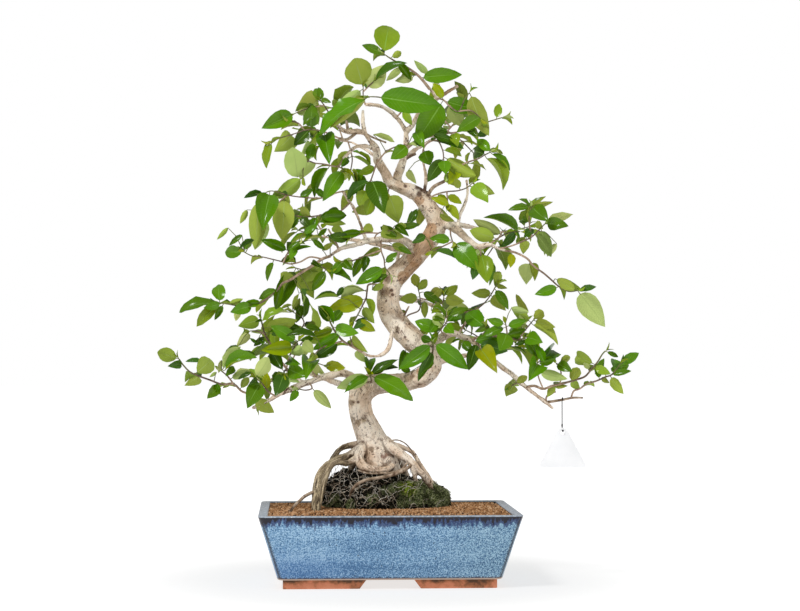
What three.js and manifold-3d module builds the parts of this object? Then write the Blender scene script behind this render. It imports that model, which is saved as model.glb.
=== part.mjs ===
// An old eugenia trained as a bonsai, in a shallow glazed pot. Millimetres, +Z up.
// X runs to the right, Y away from the front, and the pot stands on Z = 0.
import * as THREE from 'three';
import Module from 'manifold-3d';
import { mergeVertices } from 'three/addons/utils/BufferGeometryUtils.js';

const wasm = await Module();
wasm.setup();

// The pot
const rimLength = 310;
const rimDepth = 235;
const footprintInset = 23;
const potHeight = 87.4;
const footHeight = 10.9;
const wall = 11;
const floorThickness = 10;
const cornerRadius = 9;
const leastCorner = 2;
const bodyHeight = potHeight - footHeight;
const cornerSteps = 2;

// The feet: an L under each corner, with sloped inner ends
const footInset = 6;
const footWidth = 15;
const footRun = 99;
const footRunShort = 52;
const footSlope = 9;

// How far a joined piece, or a cutter, reaches past the face that it meets
const overlap = 1;

// Drainage: a hole and a square of mesh on each side, held by a wire clip
const drainX = 62;
const drainRadius = 11;
const drainSides = 16;
const drainCut = 60;
const meshSize = 44;
const meshThickness = 1.6;
const meshBar = 4;
const meshHolesAcross = 2;
const meshCut = 10;
const clipWire = 0.9;
const clipReach = 9;
const clipLeg = 5;
const clipY = 4;

// Soil, and the lump of old soil that the roots straddle
const clearance = 0.3;
const soilDrop = 2.8;
const soilDome = 2.2;
const soilCrown = 0.6;
const moundCentre = [-5, 34];
const moundSides = 16;
const moundBump = 2.2;

// The hanging tag and its string
const tagWidth = 56;
const tagHeight = 48;
const tagThickness = 0.9;
const tagHole = 2.6;
const tagHoleDrop = 5.5;
const tagSlack = 0.15;
const tagCorner = 4;
const tagBulge = 1;
const tagShoulder = 7;
const tagCrown = 5;
const stringRadius = 0.55;
const stringSides = 6;
const stringSlack = 0.25;
const stringTurn = 2.4;
const stringEnd = 1.9;
const knotRadius = 1.5;
const knotReach = 2.6;
const tagBehindTurn = 1.6;

// Leaves and stems
const leafRatio = 0.5;
const narrowRatio = 0.34;
const longestGuess = 56;
const leanShare = 0.8;
const leastArch = 0.05;
const archRange = 0.07;
const keelDepth = 1.4;
const neckHalf = 0.8;
const neckReach = 1.4;
const neckSink = 0.3;
const neckRise = 0.5;
const stemSides = 3;
const thickStemSides = 4;
const stemEnd = 0.9;
const clipSides = 4;
const stemRadius = [1.15, 0.85];
const bladeGap = 0.35;
const seamTolerance = 0.12;
const touching = 0.05;
const straightness = 1.2;
const sleeve = 0.35;
const barkRoom = 2.5;
const trunkLumps = 0.055;
const limbLumps = 0.04;

// The tree is drawn as it is seen from the front: u to the right and v downward on the drawing,
// and the depth in millimetres behind the pot's middle. Things further back are drawn smaller.
const eye = { x: -110.9, y: -2382.5, z: 282.4 };
const vanishing = { u: 296, v: 348 };
const unit = 1.2212;

function seen([u, v, depth]) {
  const scale = unit * (1 - depth / eye.y);
  const x = eye.x + (u - vanishing.u) * scale;
  const z = eye.z + (vanishing.v - v) * scale;
  return new THREE.Vector3(x, depth, z);
}

// Trunk, branches and bare twigs. Each has its points on the drawing and its radii in
// millimetres, one for each point or only the first and the last. All but the trunk start on
// the nearest wood that is already there.
const limbs = {
  trunk: {
    points: [[380, 474, 30], [378, 462, 30], [374, 447, 30], [368, 431, 29], [362, 416, 27],
      [359.5, 402, 24], [363, 390, 20], [375, 384, 16], [392, 383, 10], [410, 381, 4],
      [424, 376, 0], [432, 366, -2], [427, 353, 0], [413, 340, 5], [400, 327, 10],
      [390, 311, 16], [388, 296, 20], [392, 281, 22], [404, 268, 22], [417, 254, 20],
      [430, 239, 15], [437, 224, 12], [430, 208, 10], [420, 195, 10]],
    radii: [26, 24, 20.5, 17, 15, 14.4, 15.5, 13.5, 11.5, 11.5, 12, 12, 13, 14.5, 14.6,
      14.2, 14, 14, 13, 12.4, 12, 12, 11, 10],
    sides: 11,
  },
  leader: {
    points: [[420, 195, 10], [410, 190, 8], [400, 187, 6], [390, 182, 4], [385, 172, 2],
      [378, 160, 0], [376, 148, -2], [370, 140, -4], [365, 132, -5], [363, 120, -6],
      [363, 109, -7]],
    radii: [9, 8.5, 7.5, 6.8, 6.2, 5.6, 4.4, 3.4, 3, 2.6, 2],
    sides: 7,
  },
  secondLeader: {
    points: [[402, 188, 6], [397, 180, 10], [399, 171, 13], [403, 160, 14], [406, 146, 13],
      [406, 132, 12]],
    radii: [6.4, 6, 5.2, 4.6, 4.2, 3.6],
    sides: 7,
  },
  rightArm: {
    points: [[406, 132, 12], [414, 122, 9], [419, 111, 6], [428, 102, 3], [437, 97, 0],
      [430, 88, -4]],
    radii: [3.5, 3.2, 3, 2.8, 2.4, 1.7],
  },
  cutStub: { points: [[437, 97, 0], [446, 92, 2], [458, 84, 4]], radii: [2.6, 2.2] },
  leftArm: {
    points: [[406, 132, 12], [401, 122, 9], [393, 113, 4], [384, 107, -4], [373, 104, -14],
      [365, 104, -18]],
    radii: [3.2, 2],
  },
  gnarl: {
    points: [[365, 132, -5], [355, 131, -8], [345, 131, -12], [337, 125, -16]],
    radii: [3.2, 2.2],
  },
  gnarlStub: { points: [[348, 131, -11], [346, 120, -12]], radii: [2.2, 1.5] },
  leftReach: {
    points: [[357, 133, -7], [347, 139, -17], [339, 138, -22]],
    radii: [2, 1.6],
  },
  leftFork: {
    points: [[376, 150, -2], [368, 146, -8], [357, 146, -12], [350, 151, -11], [343, 159, -10]],
    radii: [2.8, 1.9],
  },
  crossTwig: { points: [[363, 134, -5], [373, 137, -3], [386, 142, 0]], radii: [1.6, 1.1] },
  uprightTwig: {
    points: [[424, 197, 8], [426, 182, -1], [425, 170, -4], [422, 158, -6]],
    radii: [2.6, 1.7],
  },
  slantTwig: {
    points: [[427, 199, 9], [433, 187, -6], [445, 180, -12], [450, 174, -15], [455, 169, -17]],
    radii: [2.4, 1.5],
  },
  stubTwig: { points: [[403, 160, 14], [411, 155, 11], [416, 153, 10]], radii: [2.2, 1.8] },
  rightTwig: {
    points: [[406, 148, 13], [415, 141, 2], [424, 137, -3], [436, 134, -6], [448, 132, -9]],
    radii: [2.2, 1.5],
  },
  midLeft: {
    points: [[417, 250, 20], [406, 241, 13], [398, 239, 7], [385, 239, 0], [370, 240, -6],
      [357, 244, -12], [345, 247, -16], [337, 251, -18], [330, 256, -20]],
    radii: [6.5, 4.8, 4, 3.7, 3.5, 3.2, 2.9, 2.6, 2.2],
    sides: 6,
  },
  midLeftUp: {
    points: [[366, 241, -8], [362, 229, -10], [358, 218, -12], [353, 207, -14],
      [347, 198, -15], [343, 191, -16]],
    radii: [2.6, 1.7],
  },
  midLeftStub: { points: [[339, 250, -18], [334, 239, -14], [328, 229, -12]], radii: [1.6, 1] },
  backLoop: {
    points: [[391, 286, 24], [395, 272, 34], [398, 259, 34], [397, 247, 32]],
    radii: [3, 2],
  },
  midRight: {
    points: [[437, 222, 12], [448, 224, 5], [458, 230, -2], [468, 239, -7], [478, 246, -12],
      [490, 244, -17], [499, 248, -20], [506, 250, -21]],
    radii: [7, 5.8, 4.8, 4.2, 3.6, 2.4, 2.1, 1.8],
    sides: 7,
  },
  tallTwig: {
    points: [[458, 230, -2], [460, 215, 8], [466, 201, 12], [468, 190, 14], [467, 179, 14]],
    radii: [2.6, 1.4],
  },
  deadTwigs: { points: [[403, 326, 10], [404, 316, -6], [409, 306, -8]], radii: [1.8, 1] },
  hanging: {
    points: [[395, 325, 8], [392, 334, -12], [389, 347, -18], [381, 355, -22], [370, 356, -24],
      [362, 352, -26]],
    radii: [2.6, 1.7],
  },
  lowerLeft: {
    points: [[361, 391, 22], [350, 376, 12], [339, 373, 7], [331, 375, 3], [322, 377, -1],
      [312, 381, -4], [303, 384, -6], [294, 388, -9], [284, 392, -11], [276, 396, -12],
      [266, 402, -15], [252, 408, -18]],
    radii: [8, 5.4, 4.6, 4.4, 4.2, 4, 4, 3.6, 3.2, 2.8, 2.6, 2],
    sides: 7,
  },
  lowerLeftFork: { points: [[303, 384, -6], [296, 377, -7], [288, 371, -8]], radii: [3, 2.2] },
  lowerRight: {
    points: [[425, 352, 0], [440, 339, -12], [452, 333, -18], [462, 336, -20], [471, 340, -22],
      [482, 350, -24], [490, 357, -25], [501, 366, -25], [512, 374, -25], [524, 385, -25],
      [535, 394, -24], [546, 402, -22], [554, 409, -20]],
    radii: [7, 5.2, 4.2, 3.8, 3.6, 3.4, 3.2, 3.1, 3, 3, 2.6, 2.4, 1.7],
    sides: 7,
  },
  bareTwig: { points: [[458, 335, -19], [463, 327, -14], [468, 319, -10]], radii: [1.9, 1.3] },
  tagTwig: {
    points: [[547, 402, -22], [563, 400, -22], [574, 398, -22], [584, 398, -21]],
    radii: [1.9, 1.1],
  },
  lowStub: { points: [[547, 402, -22], [548, 396, -30], [557, 392, -33]], radii: [1.3, 0.9] },
  backLeftLow: {
    points: [[363, 392, 24], [347, 386, 52], [322, 378, 84], [298, 370, 108]],
    radii: [6, 4.4, 3, 2],
  },
  backRightLow: {
    points: [[428, 374, 2], [440, 372, 34], [462, 364, 72], [486, 356, 100]],
    radii: [5.5, 4, 2.8, 2],
  },
  backCentre: {
    points: [[390, 300, 22], [400, 298, 55], [424, 302, 86], [448, 312, 108]],
    radii: [5.5, 4, 2.8, 2],
  },
  backLeftMid: {
    points: [[414, 257, 21], [398, 250, 60], [368, 242, 92], [334, 238, 116]],
    radii: [5, 3.8, 2.7, 1.9],
  },
  backRightMid: {
    points: [[437, 226, 14], [448, 224, 50], [470, 226, 86], [494, 232, 110]],
    radii: [5, 3.8, 2.7, 1.9],
  },
  backTop: {
    points: [[386, 172, 3], [382, 164, 34], [370, 152, 64], [352, 142, 88]],
    radii: [4, 3, 2.2, 1.6],
  },
  backTopRight: {
    points: [[404, 158, 14], [414, 150, 40], [430, 140, 64], [446, 132, 84]],
    radii: [3.4, 2.8, 2.1, 1.6],
  },
};

// Exposed roots. They leave the foot of the trunk, arch over the mound and go into the soil.
const roots = {
  frontLoop: {
    points: [[360, 450, 12], [358, 459, 4], [364, 467, -2], [375, 470, -4], [385, 470, 0],
      [393, 465, 12]],
    radii: [6.5, 5.6, 5.4, 5.2, 4.6, 4],
  },
  leftUpper: {
    points: [[362, 452, 26], [349, 455, 18], [340, 458, 8], [330, 463, -2], [322, 470, -8],
      [318, 480, -14], [316, 492, -20], [315, 506, -24], [315, 516, -25]],
    radii: [7, 5.2, 4.8, 4.6, 4.4, 4.3, 4.2, 4, 3.5],
  },
  leftLower: {
    points: [[360, 460, 12], [347, 463, 2], [338, 462, -6], [331, 467, -14], [326, 477, -20],
      [323, 490, -26], [320, 505, -30], [318, 516, -31]],
    radii: [5, 3.8, 3.6, 3.4, 3.3, 3.2, 3, 2.8],
  },
  leftBack: {
    points: [[362, 446, 40], [350, 445, 44], [340, 449, 46], [333, 458, 50], [327, 474, 56],
      [323, 492, 60], [322, 510, 62]],
    radii: [5, 4, 3.6, 3.6, 3.4, 3.2, 3],
  },
  leftRunner: {
    points: [[316, 490, -20], [306, 495, -26], [300, 500, -30], [293, 507, -34],
      [288, 516, -36]],
    radii: [2.2, 1.7],
  },
  rightMain: {
    points: [[380, 446, 24], [392, 449, 16], [402, 455, 10], [411, 462, 6], [419, 471, 4],
      [426, 479, 4], [432, 490, 4]],
    radii: [9, 6.6, 5.8, 5.2, 4.4, 4, 3.4],
  },
  rightBehind: {
    points: [[388, 447, 34], [404, 448, 30], [413, 453, 28], [420, 464, 26], [427, 474, 26],
      [434, 488, 26]],
    radii: [5.5, 3.6, 3, 2.8, 2.8, 2.6],
  },
  rightBrace: { points: [[409, 461, 8], [413, 471, 0], [416, 480, -4], [419, 490, -6]],
    radii: [2.8, 2.1] },
  crossRoot: {
    points: [[412, 465, 8], [402, 470, -6], [390, 474, -12], [379, 479, -14], [368, 482, -16],
      [357, 489, -20], [352, 496, -22]],
    radii: [2.4, 1.6],
  },
  backLeft: {
    points: [[368, 450, 44], [358, 456, 62], [350, 470, 76], [346, 490, 84], [345, 508, 88]],
    radii: [7, 5, 4.4, 4, 3.4],
  },
  backRight: {
    points: [[384, 450, 44], [396, 456, 60], [404, 470, 72], [408, 488, 80], [410, 506, 84]],
    radii: [7, 5, 4.4, 4, 3.4],
  },
};

// Leafy sprays. Stems are points on the drawing, and the first starts inside a limb. A leaf is
// the drawn place of its base and tip, its drawn width, and its look: v vivid, g green, d dark,
// b bluish, y yellow-green, and o olive or p pale where the underside shows. Pairs are leaves
// placed by rule along each stem, for twigs that the drawing does not show.
const sprays = {
  apex: {
    stems: [[[430, 88, -4], [421, 77, -8], [413, 70, -11], [405, 65, -13], [397, 61, -15],
      [390, 57, -16], [384, 53, -16]]],
    leaves: [[384, 53, 389, 24, 28, 'v'], [382, 53, 362, 44, 8, 'g'], [398, 62, 411, 79, 9, 'g'],
      [421, 77, 462, 73, 14, 'v'], [390, 57, 401, 50, 8, 'o']],
  },
  top_left: {
    stems: [[[365, 104, -18], [363, 95, -22], [363, 87, -25]], [[363, 91, -23], [373, 81, -24]]],
    leaves: [[363, 86, 354, 57, 20, 'o'], [365, 86, 385, 64, 14, 'p'],
      [361, 88, 335, 111, 12, 'p'], [373, 80, 406, 61, 8, 'd']],
  },
  long_vivid: {
    stems: [[[396, 117, 6], [402, 108, -16], [392, 101, -30], [382, 97, -40], [375, 96, -46],
      [368, 96, -50]]],
    leaves: [[378, 92, 441, 104, 26, 'v'], [368, 95, 315, 138, 14, 'v'],
      [365, 100, 330, 127, 14, 'o'], [404, 107, 412, 124, 8, 'v']],
  },
  top_right: {
    stems: [[[437, 97, 0], [444, 99, -20], [450, 105, -28], [459, 110, -34], [465, 98, -38],
      [470, 91, -40]], [[459, 110, -34], [470, 109, -38], [476, 112, -40], [481, 117, -41]]],
    leaves: [[446, 98, 479, 108, 16, 'g'], [450, 107, 465, 126, 17, 'p'],
      [470, 91, 489, 134, 16, 'o'], [440, 101, 416, 141, 27, 'v'], [445, 97, 433, 82, 9, 'y']],
  },
  right_high: {
    stems: [[[446, 132, -9], [457, 131, -20], [470, 127, -24], [487, 121, -27],
      [503, 116, -30]]],
    leaves: [[497, 118, 500, 102, 9, 'g'], [452, 131, 458, 145, 9, 'g']],
  },
  upper_right: {
    stems: [[[422, 158, -6], [424, 147, -14], [430, 141, -18], [438, 140, -22],
      [443, 150, -28], [444, 160, -31], [446, 172, -33]]],
    leaves: [[424, 149, 430, 164, 9, 'v'], [431, 143, 464, 147, 9, 'v'],
      [441, 149, 462, 155, 7, 'd'], [447, 156, 476, 175, 16, 'o'], [441, 157, 428, 181, 13, 'd'],
      [446, 160, 446, 173, 9, 'v'], [447, 171, 456, 185, 13, 'o'], [424, 146, 414, 138, 9, 'g']],
  },
  right_curl: {
    stems: [[[455, 169, -17], [466, 162, -28], [478, 158, -34], [485, 154, -37],
      [491, 151, -39]]],
    leaves: [[486, 153, 474, 151, 15, 'd'], [485, 155, 505, 188, 9, 'g'], [491, 152, 511, 169, 7, 'g']],
  },
  inner_right: {
    stems: [[[425, 200, 9], [436, 194, -10], [447, 191, -22], [458, 190, -28],
      [467, 187, -32], [473, 182, -34]], [[447, 191, -22], [448, 202, -28]]],
    leaves: [[473, 181, 488, 201, 17, 'v'], [474, 180, 495, 193, 12, 'o'],
      [449, 194, 462, 203, 8, 'g'], [448, 203, 459, 219, 8, 'g'], [437, 195, 449, 205, 7, 'y'],
      [434, 192, 446, 198, 6, 'y'], [461, 189, 455, 178, 8, 'o']],
  },
  round_leaf: {
    stems: [[[337, 125, -16], [329, 113, -30], [324, 105, -36], [320, 100, -40]],
      [[324, 105, -36], [308, 108, -44], [295, 113, -48]]],
    leaves: [[319, 99, 297, 110, 30, 'o'], [294, 113, 262, 128, 18, 'd'],
      [314, 109, 318, 124, 10, 'p'], [321, 99, 314, 88, 9, 'g']],
  },
  far_left_top: {
    stems: [[[339, 138, -22], [330, 134, -32], [322, 131, -38], [313, 129, -44],
      [304, 130, -48], [296, 133, -52], [283, 137, -56], [272, 141, -58]],
    [[304, 130, -48], [298, 123, -52], [290, 121, -54]]],
    leaves: [[322, 133, 329, 163, 22, 'd'], [293, 134, 275, 151, 22, 'p'],
      [271, 142, 266, 168, 8, 'g'], [310, 128, 312, 105, 17, 'g'], [311, 131, 294, 145, 9, 'd']],
  },
  left_glossy: {
    stems: [[[343, 159, -10], [337, 166, -22], [325, 164, -30], [315, 163, -36],
      [307, 161, -40], [303, 169, -42], [303, 177, -43]], [[337, 166, -22], [344, 169, -30]]],
    leaves: [[305, 160, 300, 178, 22, 'p'], [309, 160, 313, 143, 10, 'v'],
      [328, 166, 314, 197, 10, 'g'], [302, 178, 274, 199, 14, 'o'], [343, 169, 323, 200, 14, 'v']],
  },
  left_pair: {
    stems: [[[378, 157, 0], [376, 164, -16], [371, 179, -24], [367, 188, -27],
      [372, 196, -29]], [[376, 164, -16], [385, 152, -20], [396, 146, -24], [408, 144, -28]]],
    leaves: [[375, 165, 358, 174, 8, 'g'], [373, 180, 384, 212, 22, 'd'],
      [370, 180, 347, 198, 8, 'g'], [366, 189, 358, 205, 8, 'g'], [373, 196, 366, 215, 8, 'g'],
      [409, 144, 391, 158, 12, 'v'], [386, 150, 396, 139, 9, 'p']],
  },
  trunk_top: {
    stems: [[[393, 184, 5], [389, 188, -14], [388, 193, -20]]],
    leaves: [[388, 192, 398, 222, 18, 'o']],
  },
  left_high: {
    stems: [[[343, 191, -16], [335, 193, -26], [327, 197, -34], [315, 198, -42],
      [300, 197, -50], [287, 195, -56], [272, 191, -62], [265, 193, -64]],
    [[287, 195, -56], [276, 205, -42], [264, 216, -38]]],
    leaves: [[270, 192, 263, 229, 26, 'v'], [265, 193, 244, 198, 7, 'g'],
      [287, 197, 281, 239, 20, 'o'], [262, 218, 255, 249, 18, 'p'], [300, 197, 313, 189, 7, 'g'],
      [325, 197, 315, 188, 8, 'g']],
  },
  left_inner: {
    stems: [[[349, 203, -15], [340, 211, -26], [328, 214, -32], [315, 216, -38],
      [305, 217, -44], [297, 216, -48], [283, 214, -52], [274, 211, -54]]],
    leaves: [[342, 212, 321, 222, 15, 'g'], [298, 218, 285, 231, 10, 'g'],
      [320, 217, 306, 238, 9, 'v'], [311, 216, 300, 207, 9, 'o'],
      [299, 216, 310, 228, 9, 'd']],
  },
  left_long: {
    thick: [1.9, 0.85],
    stems: [[[330, 256, -20], [322, 259, -30], [315, 264, -36], [302, 272, -44],
      [290, 280, -50], [283, 283, -53], [278, 289, -55], [272, 295, -58], [262, 302, -62],
      [252, 306, -66], [240, 306, -70], [228, 304, -74], [220, 303, -76]],
    [[322, 259, -30], [310, 257, -40], [300, 262, -46], [290, 264, -50], [283, 262, -54],
      [275, 260, -57], [262, 257, -62], [252, 256, -67], [244, 252, -70]],
    [[283, 262, -54], [289, 251, -60], [297, 245, -64]],
    [[315, 264, -36], [306, 270, -26], [296, 268, -20]],
    [[315, 264, -36], [326, 269, -40]]],
    leaves: [[219, 303, 219, 284, 14, 'v'], [219, 304, 180, 311, 9, 'g'],
      [221, 305, 197, 326, 10, 'v'], [224, 305, 215, 320, 6, 'g'], [228, 303, 243, 299, 7, 'p'],
      [253, 307, 231, 312, 12, 'v'], [262, 301, 242, 305, 9, 'v'], [240, 307, 236, 321, 7, 'p'],
      [276, 286, 259, 299, 9, 'g'], [244, 252, 225, 252, 14, 'g'], [244, 251, 250, 239, 9, 'g'],
      [289, 251, 261, 240, 10, 'v'], [297, 246, 290, 259, 8, 'v'], [275, 261, 267, 281, 6, 'g'],
      [294, 268, 276, 309, 17, 'd'], [297, 268, 313, 297, 22, 'o'],
      [326, 269, 312, 291, 10, 'g'], [326, 270, 352, 281, 7, 'g']],
  },
  mid_hang: {
    stems: [[[381, 240, -2], [381, 250, -18], [384, 259, -24], [385, 267, -28],
      [390, 274, -30]], [[381, 250, -18], [370, 254, -26], [354, 260, -34], [342, 261, -38]]],
    leaves: [[384, 267, 356, 284, 13, 'v'], [390, 275, 372, 283, 6, 'd'],
      [362, 257, 353, 277, 10, 'g'], [368, 256, 363, 272, 9, 'd'], [341, 262, 353, 270, 10, 'g'],
      [341, 261, 331, 274, 9, 'v'], [386, 262, 397, 252, 7, 'g']],
  },
  mid_top: {
    stems: [[[374, 240, -5], [378, 233, -18], [392, 230, -24]],
      [[378, 233, -18], [364, 233, -28], [351, 238, -34]]],
    leaves: [[392, 230, 406, 224, 10, 'o'], [385, 232, 404, 237, 10, 'o'],
      [373, 233, 364, 225, 9, 'o'], [350, 238, 328, 236, 10, 'g']],
  },
  right_big: {
    stems: [[[450, 226, 4], [451, 235, -16], [453, 241, -24]],
      [[453, 241, -24], [441, 247, -28], [433, 251, -30]]],
    leaves: [[454, 243, 478, 269, 20, 'v'], [451, 239, 430, 238, 9, 'v'],
      [434, 252, 458, 258, 6, 'g']],
  },
  right_olive: {
    stems: [[[477, 245, -11], [481, 251, -28], [480, 259, -34], [477, 264, -36]]],
    leaves: [[482, 252, 488, 282, 20, 'd'], [477, 264, 473, 279, 10, 'g']],
  },
  right_inner: {
    stems: [[[490, 244, -17], [498, 238, -4], [507, 233, 0], [516, 231, 2], [521, 231, 2]]],
    leaves: [[520, 230, 485, 216, 10, 'v'], [503, 234, 474, 219, 11, 'p'],
      [497, 238, 470, 230, 15, 'o'], [517, 233, 502, 247, 8, 'd']],
  },
  right_cluster: {
    stems: [[[500, 248, -20], [513, 245, -34], [525, 240, -40], [533, 236, -45],
      [541, 228, -50], [546, 223, -52]],
    [[533, 236, -45], [531, 228, -48], [530, 217, -52], [532, 206, -54]]],
    leaves: [[533, 205, 549, 220, 18, 'v'], [531, 204, 509, 209, 7, 'g'],
      [536, 202, 554, 201, 6, 'o'], [546, 223, 569, 225, 14, 'v'], [546, 221, 574, 213, 9, 'p'],
      [543, 229, 552, 256, 14, 'p'], [538, 233, 551, 251, 7, 'p'], [531, 222, 522, 219, 9, 'd'],
      [531, 229, 525, 236, 9, 'd'], [527, 240, 524, 253, 11, 'o'], [535, 235, 543, 250, 6, 'g']],
  },
  far_right: {
    thick: [1.6, 0.8],
    stems: [[[506, 250, -21], [516, 252, -26], [528, 258, -30], [534, 265, -32],
      [545, 273, -33], [552, 279, -34], [560, 286, -36], [570, 291, -38], [579, 290, -40]]],
    leaves: [[579, 291, 606, 326, 22, 'o'], [560, 287, 536, 294, 10, 'v'],
      [578, 289, 559, 278, 11, 'o'], [580, 289, 598, 286, 6, 'g'], [530, 262, 527, 283, 19, 'p'],
      [512, 253, 511, 267, 8, 'y']],
  },
  centre: {
    stems: [[[404, 326, 12], [407, 316, 30], [419, 310, 36], [420, 298, 38], [418, 288, 38]],
      [[420, 298, 38], [432, 301, 34], [442, 303, 31], [444, 296, 30]]],
    leaves: [[418, 288, 414, 273, 10, 'o'], [420, 291, 427, 279, 9, 'o'],
      [418, 297, 400, 299, 12, 'o'], [426, 297, 441, 288, 12, 'o'], [425, 300, 425, 318, 9, 'o'],
      [444, 298, 464, 301, 12, 'o'], [445, 295, 458, 285, 9, 'o'], [441, 304, 432, 313, 9, 'y']],
  },
  right_back: {
    stems: [[[448, 312, 108], [466, 312, 88], [481, 306, 72], [491, 295, 60], [497, 284, 54]]],
    leaves: [[493, 292, 472, 293, 11, 'o'], [497, 284, 500, 272, 9, 'o'],
      [492, 295, 506, 310, 12, 'o'], [496, 289, 509, 309, 9, 'v'],
      [466, 312, 462, 324, 12, 'g'], [475, 309, 484, 318, 12, 'o']],
  },
  low_mid: {
    stems: [[[446, 336, -15], [441, 330, -34], [446, 323, -42], [448, 316, -45]]],
    leaves: [[440, 331, 415, 321, 14, 'v'], [447, 323, 460, 311, 15, 'v'],
      [445, 326, 454, 333, 12, 'y'], [448, 315, 469, 308, 7, 'g'], [440, 327, 436, 312, 12, 'p'],
      [442, 332, 433, 326, 11, 'v']],
  },
  front_big: {
    thick: [1.5, 1],
    stems: [[[431, 364, 0], [432, 357, -26], [433, 349, -38], [433, 342, -44]]],
    leaves: [[431, 344, 399, 369, 14, 'v'], [436, 342, 468, 369, 15, 'v'],
      [432, 342, 421, 337, 9, 'd'], [431, 352, 421, 372, 12, 'b'], [430, 357, 418, 381, 8, 'd'],
      [434, 358, 424, 371, 10, 'v']],
  },
  right_mid: {
    thick: [2, 1],
    stems: [[[471, 340, -22], [480, 337, -34], [495, 336, -40], [508, 337, -44],
      [519, 340, -46], [526, 337, -49]],
    [[480, 337, -34], [486, 331, -46], [486, 327, -50]],
    [[508, 337, -44], [507, 328, -50], [506, 323, -52]],
    [[519, 340, -46], [525, 331, -38], [530, 325, -34], [534, 320, -32]]],
    leaves: [[486, 327, 467, 312, 19, 'v'], [505, 325, 488, 319, 8, 'g'],
      [506, 328, 482, 336, 8, 'g'], [508, 327, 527, 320, 9, 'v'], [505, 336, 500, 350, 18, 'v'],
      [531, 322, 512, 307, 9, 'o'], [534, 320, 545, 311, 11, 'o'], [535, 320, 556, 327, 9, 'o'],
      [532, 324, 559, 344, 10, 'o'], [529, 326, 519, 316, 9, 'p'],
      [527, 335, 543, 342, 16, 'v'], [526, 339, 540, 358, 12, 'v'], [522, 337, 509, 331, 13, 'v']],
  },
  right_under: {
    stems: [[[475, 344, -22], [478, 343, -38], [480, 348, -44]]],
    leaves: [[479, 343, 508, 351, 15, 'v'], [476, 345, 469, 370, 14, 'd'],
      [482, 349, 497, 372, 22, 'y']],
  },
  low_right: {
    thick: [1.9, 0.9],
    stems: [[[527, 387, -25], [535, 386, -32], [544, 389, -36], [553, 386, -38],
      [566, 383, -39], [580, 379, -40], [587, 376, -41], [593, 369, -42], [599, 362, -43],
      [604, 354, -44], [607, 351, -44]],
    [[544, 389, -36], [539, 376, -50], [538, 363, -60]],
    [[561, 384, -39], [562, 372, -44], [557, 363, -47]]],
    leaves: [[538, 363, 530, 380, 22, 'v'], [539, 361, 553, 349, 16, 'v'],
      [540, 365, 557, 358, 9, 'v'], [541, 370, 568, 379, 10, 'p'], [557, 363, 573, 371, 12, 'v'],
      [561, 367, 571, 356, 9, 'o'], [570, 381, 581, 368, 12, 'o'], [572, 382, 581, 389, 9, 'o'],
      [597, 365, 577, 355, 15, 'o'], [607, 351, 620, 357, 5, 'g'], [596, 367, 612, 374, 9, 'g'],
      [592, 371, 585, 360, 7, 'p'],
      [556, 386, 548, 397, 8, 'o']],
  },
  far_right_low: {
    thick: [1.3, 0.75],
    stems: [[[572, 398, -22], [575, 391, -30], [581, 389, -33], [588, 384, -35],
      [598, 381, -37], [607, 377, -39], [613, 375, -40], [619, 368, -42], [622, 364, -43]]],
    leaves: [[622, 364, 641, 353, 10, 'v'], [613, 374, 616, 359, 14, 'v'],
      [617, 371, 631, 364, 9, 'v'], [614, 376, 633, 371, 6, 'g'], [612, 377, 625, 394, 10, 'o']],
  },
  low_right_twig: {
    stems: [[[521, 383, -25], [515, 384, -42], [512, 386, -46]]],
    leaves: [[514, 385, 507, 396, 14, 'o'], [518, 383, 528, 376, 8, 'o']],
  },
  far_left: {
    thick: [1.5, 0.8],
    stems: [[[258, 404, -16], [252, 395, -30], [242, 391, -36], [234, 384, -40],
      [222, 384, -43], [211, 380, -46], [200, 376, -49], [191, 372, -52], [184, 365, -54],
      [180, 359, -56]], [[234, 384, -40], [228, 376, -48], [222, 371, -52]]],
    leaves: [[180, 358, 158, 352, 15, 'o'], [184, 364, 169, 366, 10, 'b'],
      [196, 374, 212, 359, 19, 'o'], [200, 377, 186, 385, 14, 'o'],
      [221, 385, 208, 398, 12, 'g'], [222, 370, 240, 346, 8, 'p'],
      [223, 371, 256, 356, 9, 'v'], [228, 376, 234, 367, 9, 'g'], [231, 380, 250, 370, 8, 'p'],
      [240, 389, 249, 377, 9, 'o'], [256, 399, 274, 412, 13, 'o']],
  },
  inner_left: {
    thick: [1.6, 0.9],
    stems: [[[290, 372, -8], [281, 361, 0], [273, 348, 6], [265, 334, 8], [262, 323, 4],
      [261, 319, 2]], [[265, 334, 8], [257, 331, -4], [250, 331, -10]],
    [[273, 348, 6], [290, 337, 20], [303, 326, 26], [302, 318, 28], [293, 312, 30]]],
    leaves: [[250, 332, 237, 346, 11, 'p'], [260, 320, 239, 326, 14, 'o'],
      [265, 328, 297, 320, 13, 'o'], [266, 336, 254, 346, 7, 'd'],
      [302, 319, 297, 305, 9, 'g'], [303, 318, 301, 290, 6, 'g'], [303, 326, 322, 331, 6, 'g'],
      [293, 312, 262, 319, 6, 'g'], [294, 311, 300, 298, 7, 'o'], [286, 340, 280, 326, 12, 'o']],
  },
  left_heart: {
    thick: [1.6, 1],
    stems: [[[292, 374, -7], [286, 370, -28], [284, 372, -36]],
      [[286, 370, -28], [290, 355, -34], [295, 346, -38], [298, 341, -40]]],
    leaves: [[284, 371, 272, 352, 16, 'd'], [283, 373, 276, 395, 16, 'b'],
      [287, 368, 307, 376, 16, 'v'], [297, 341, 271, 326, 12, 'v'], [299, 340, 313, 338, 8, 'v'],
      [293, 346, 262, 350, 17, 'y'], [291, 356, 304, 349, 11, 'p'], [289, 360, 300, 364, 12, 'v']],
  },
  left_drop: {
    stems: [[[276, 396, -12], [268, 391, -40], [262, 383, -48], [256, 378, -52]]],
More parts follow.
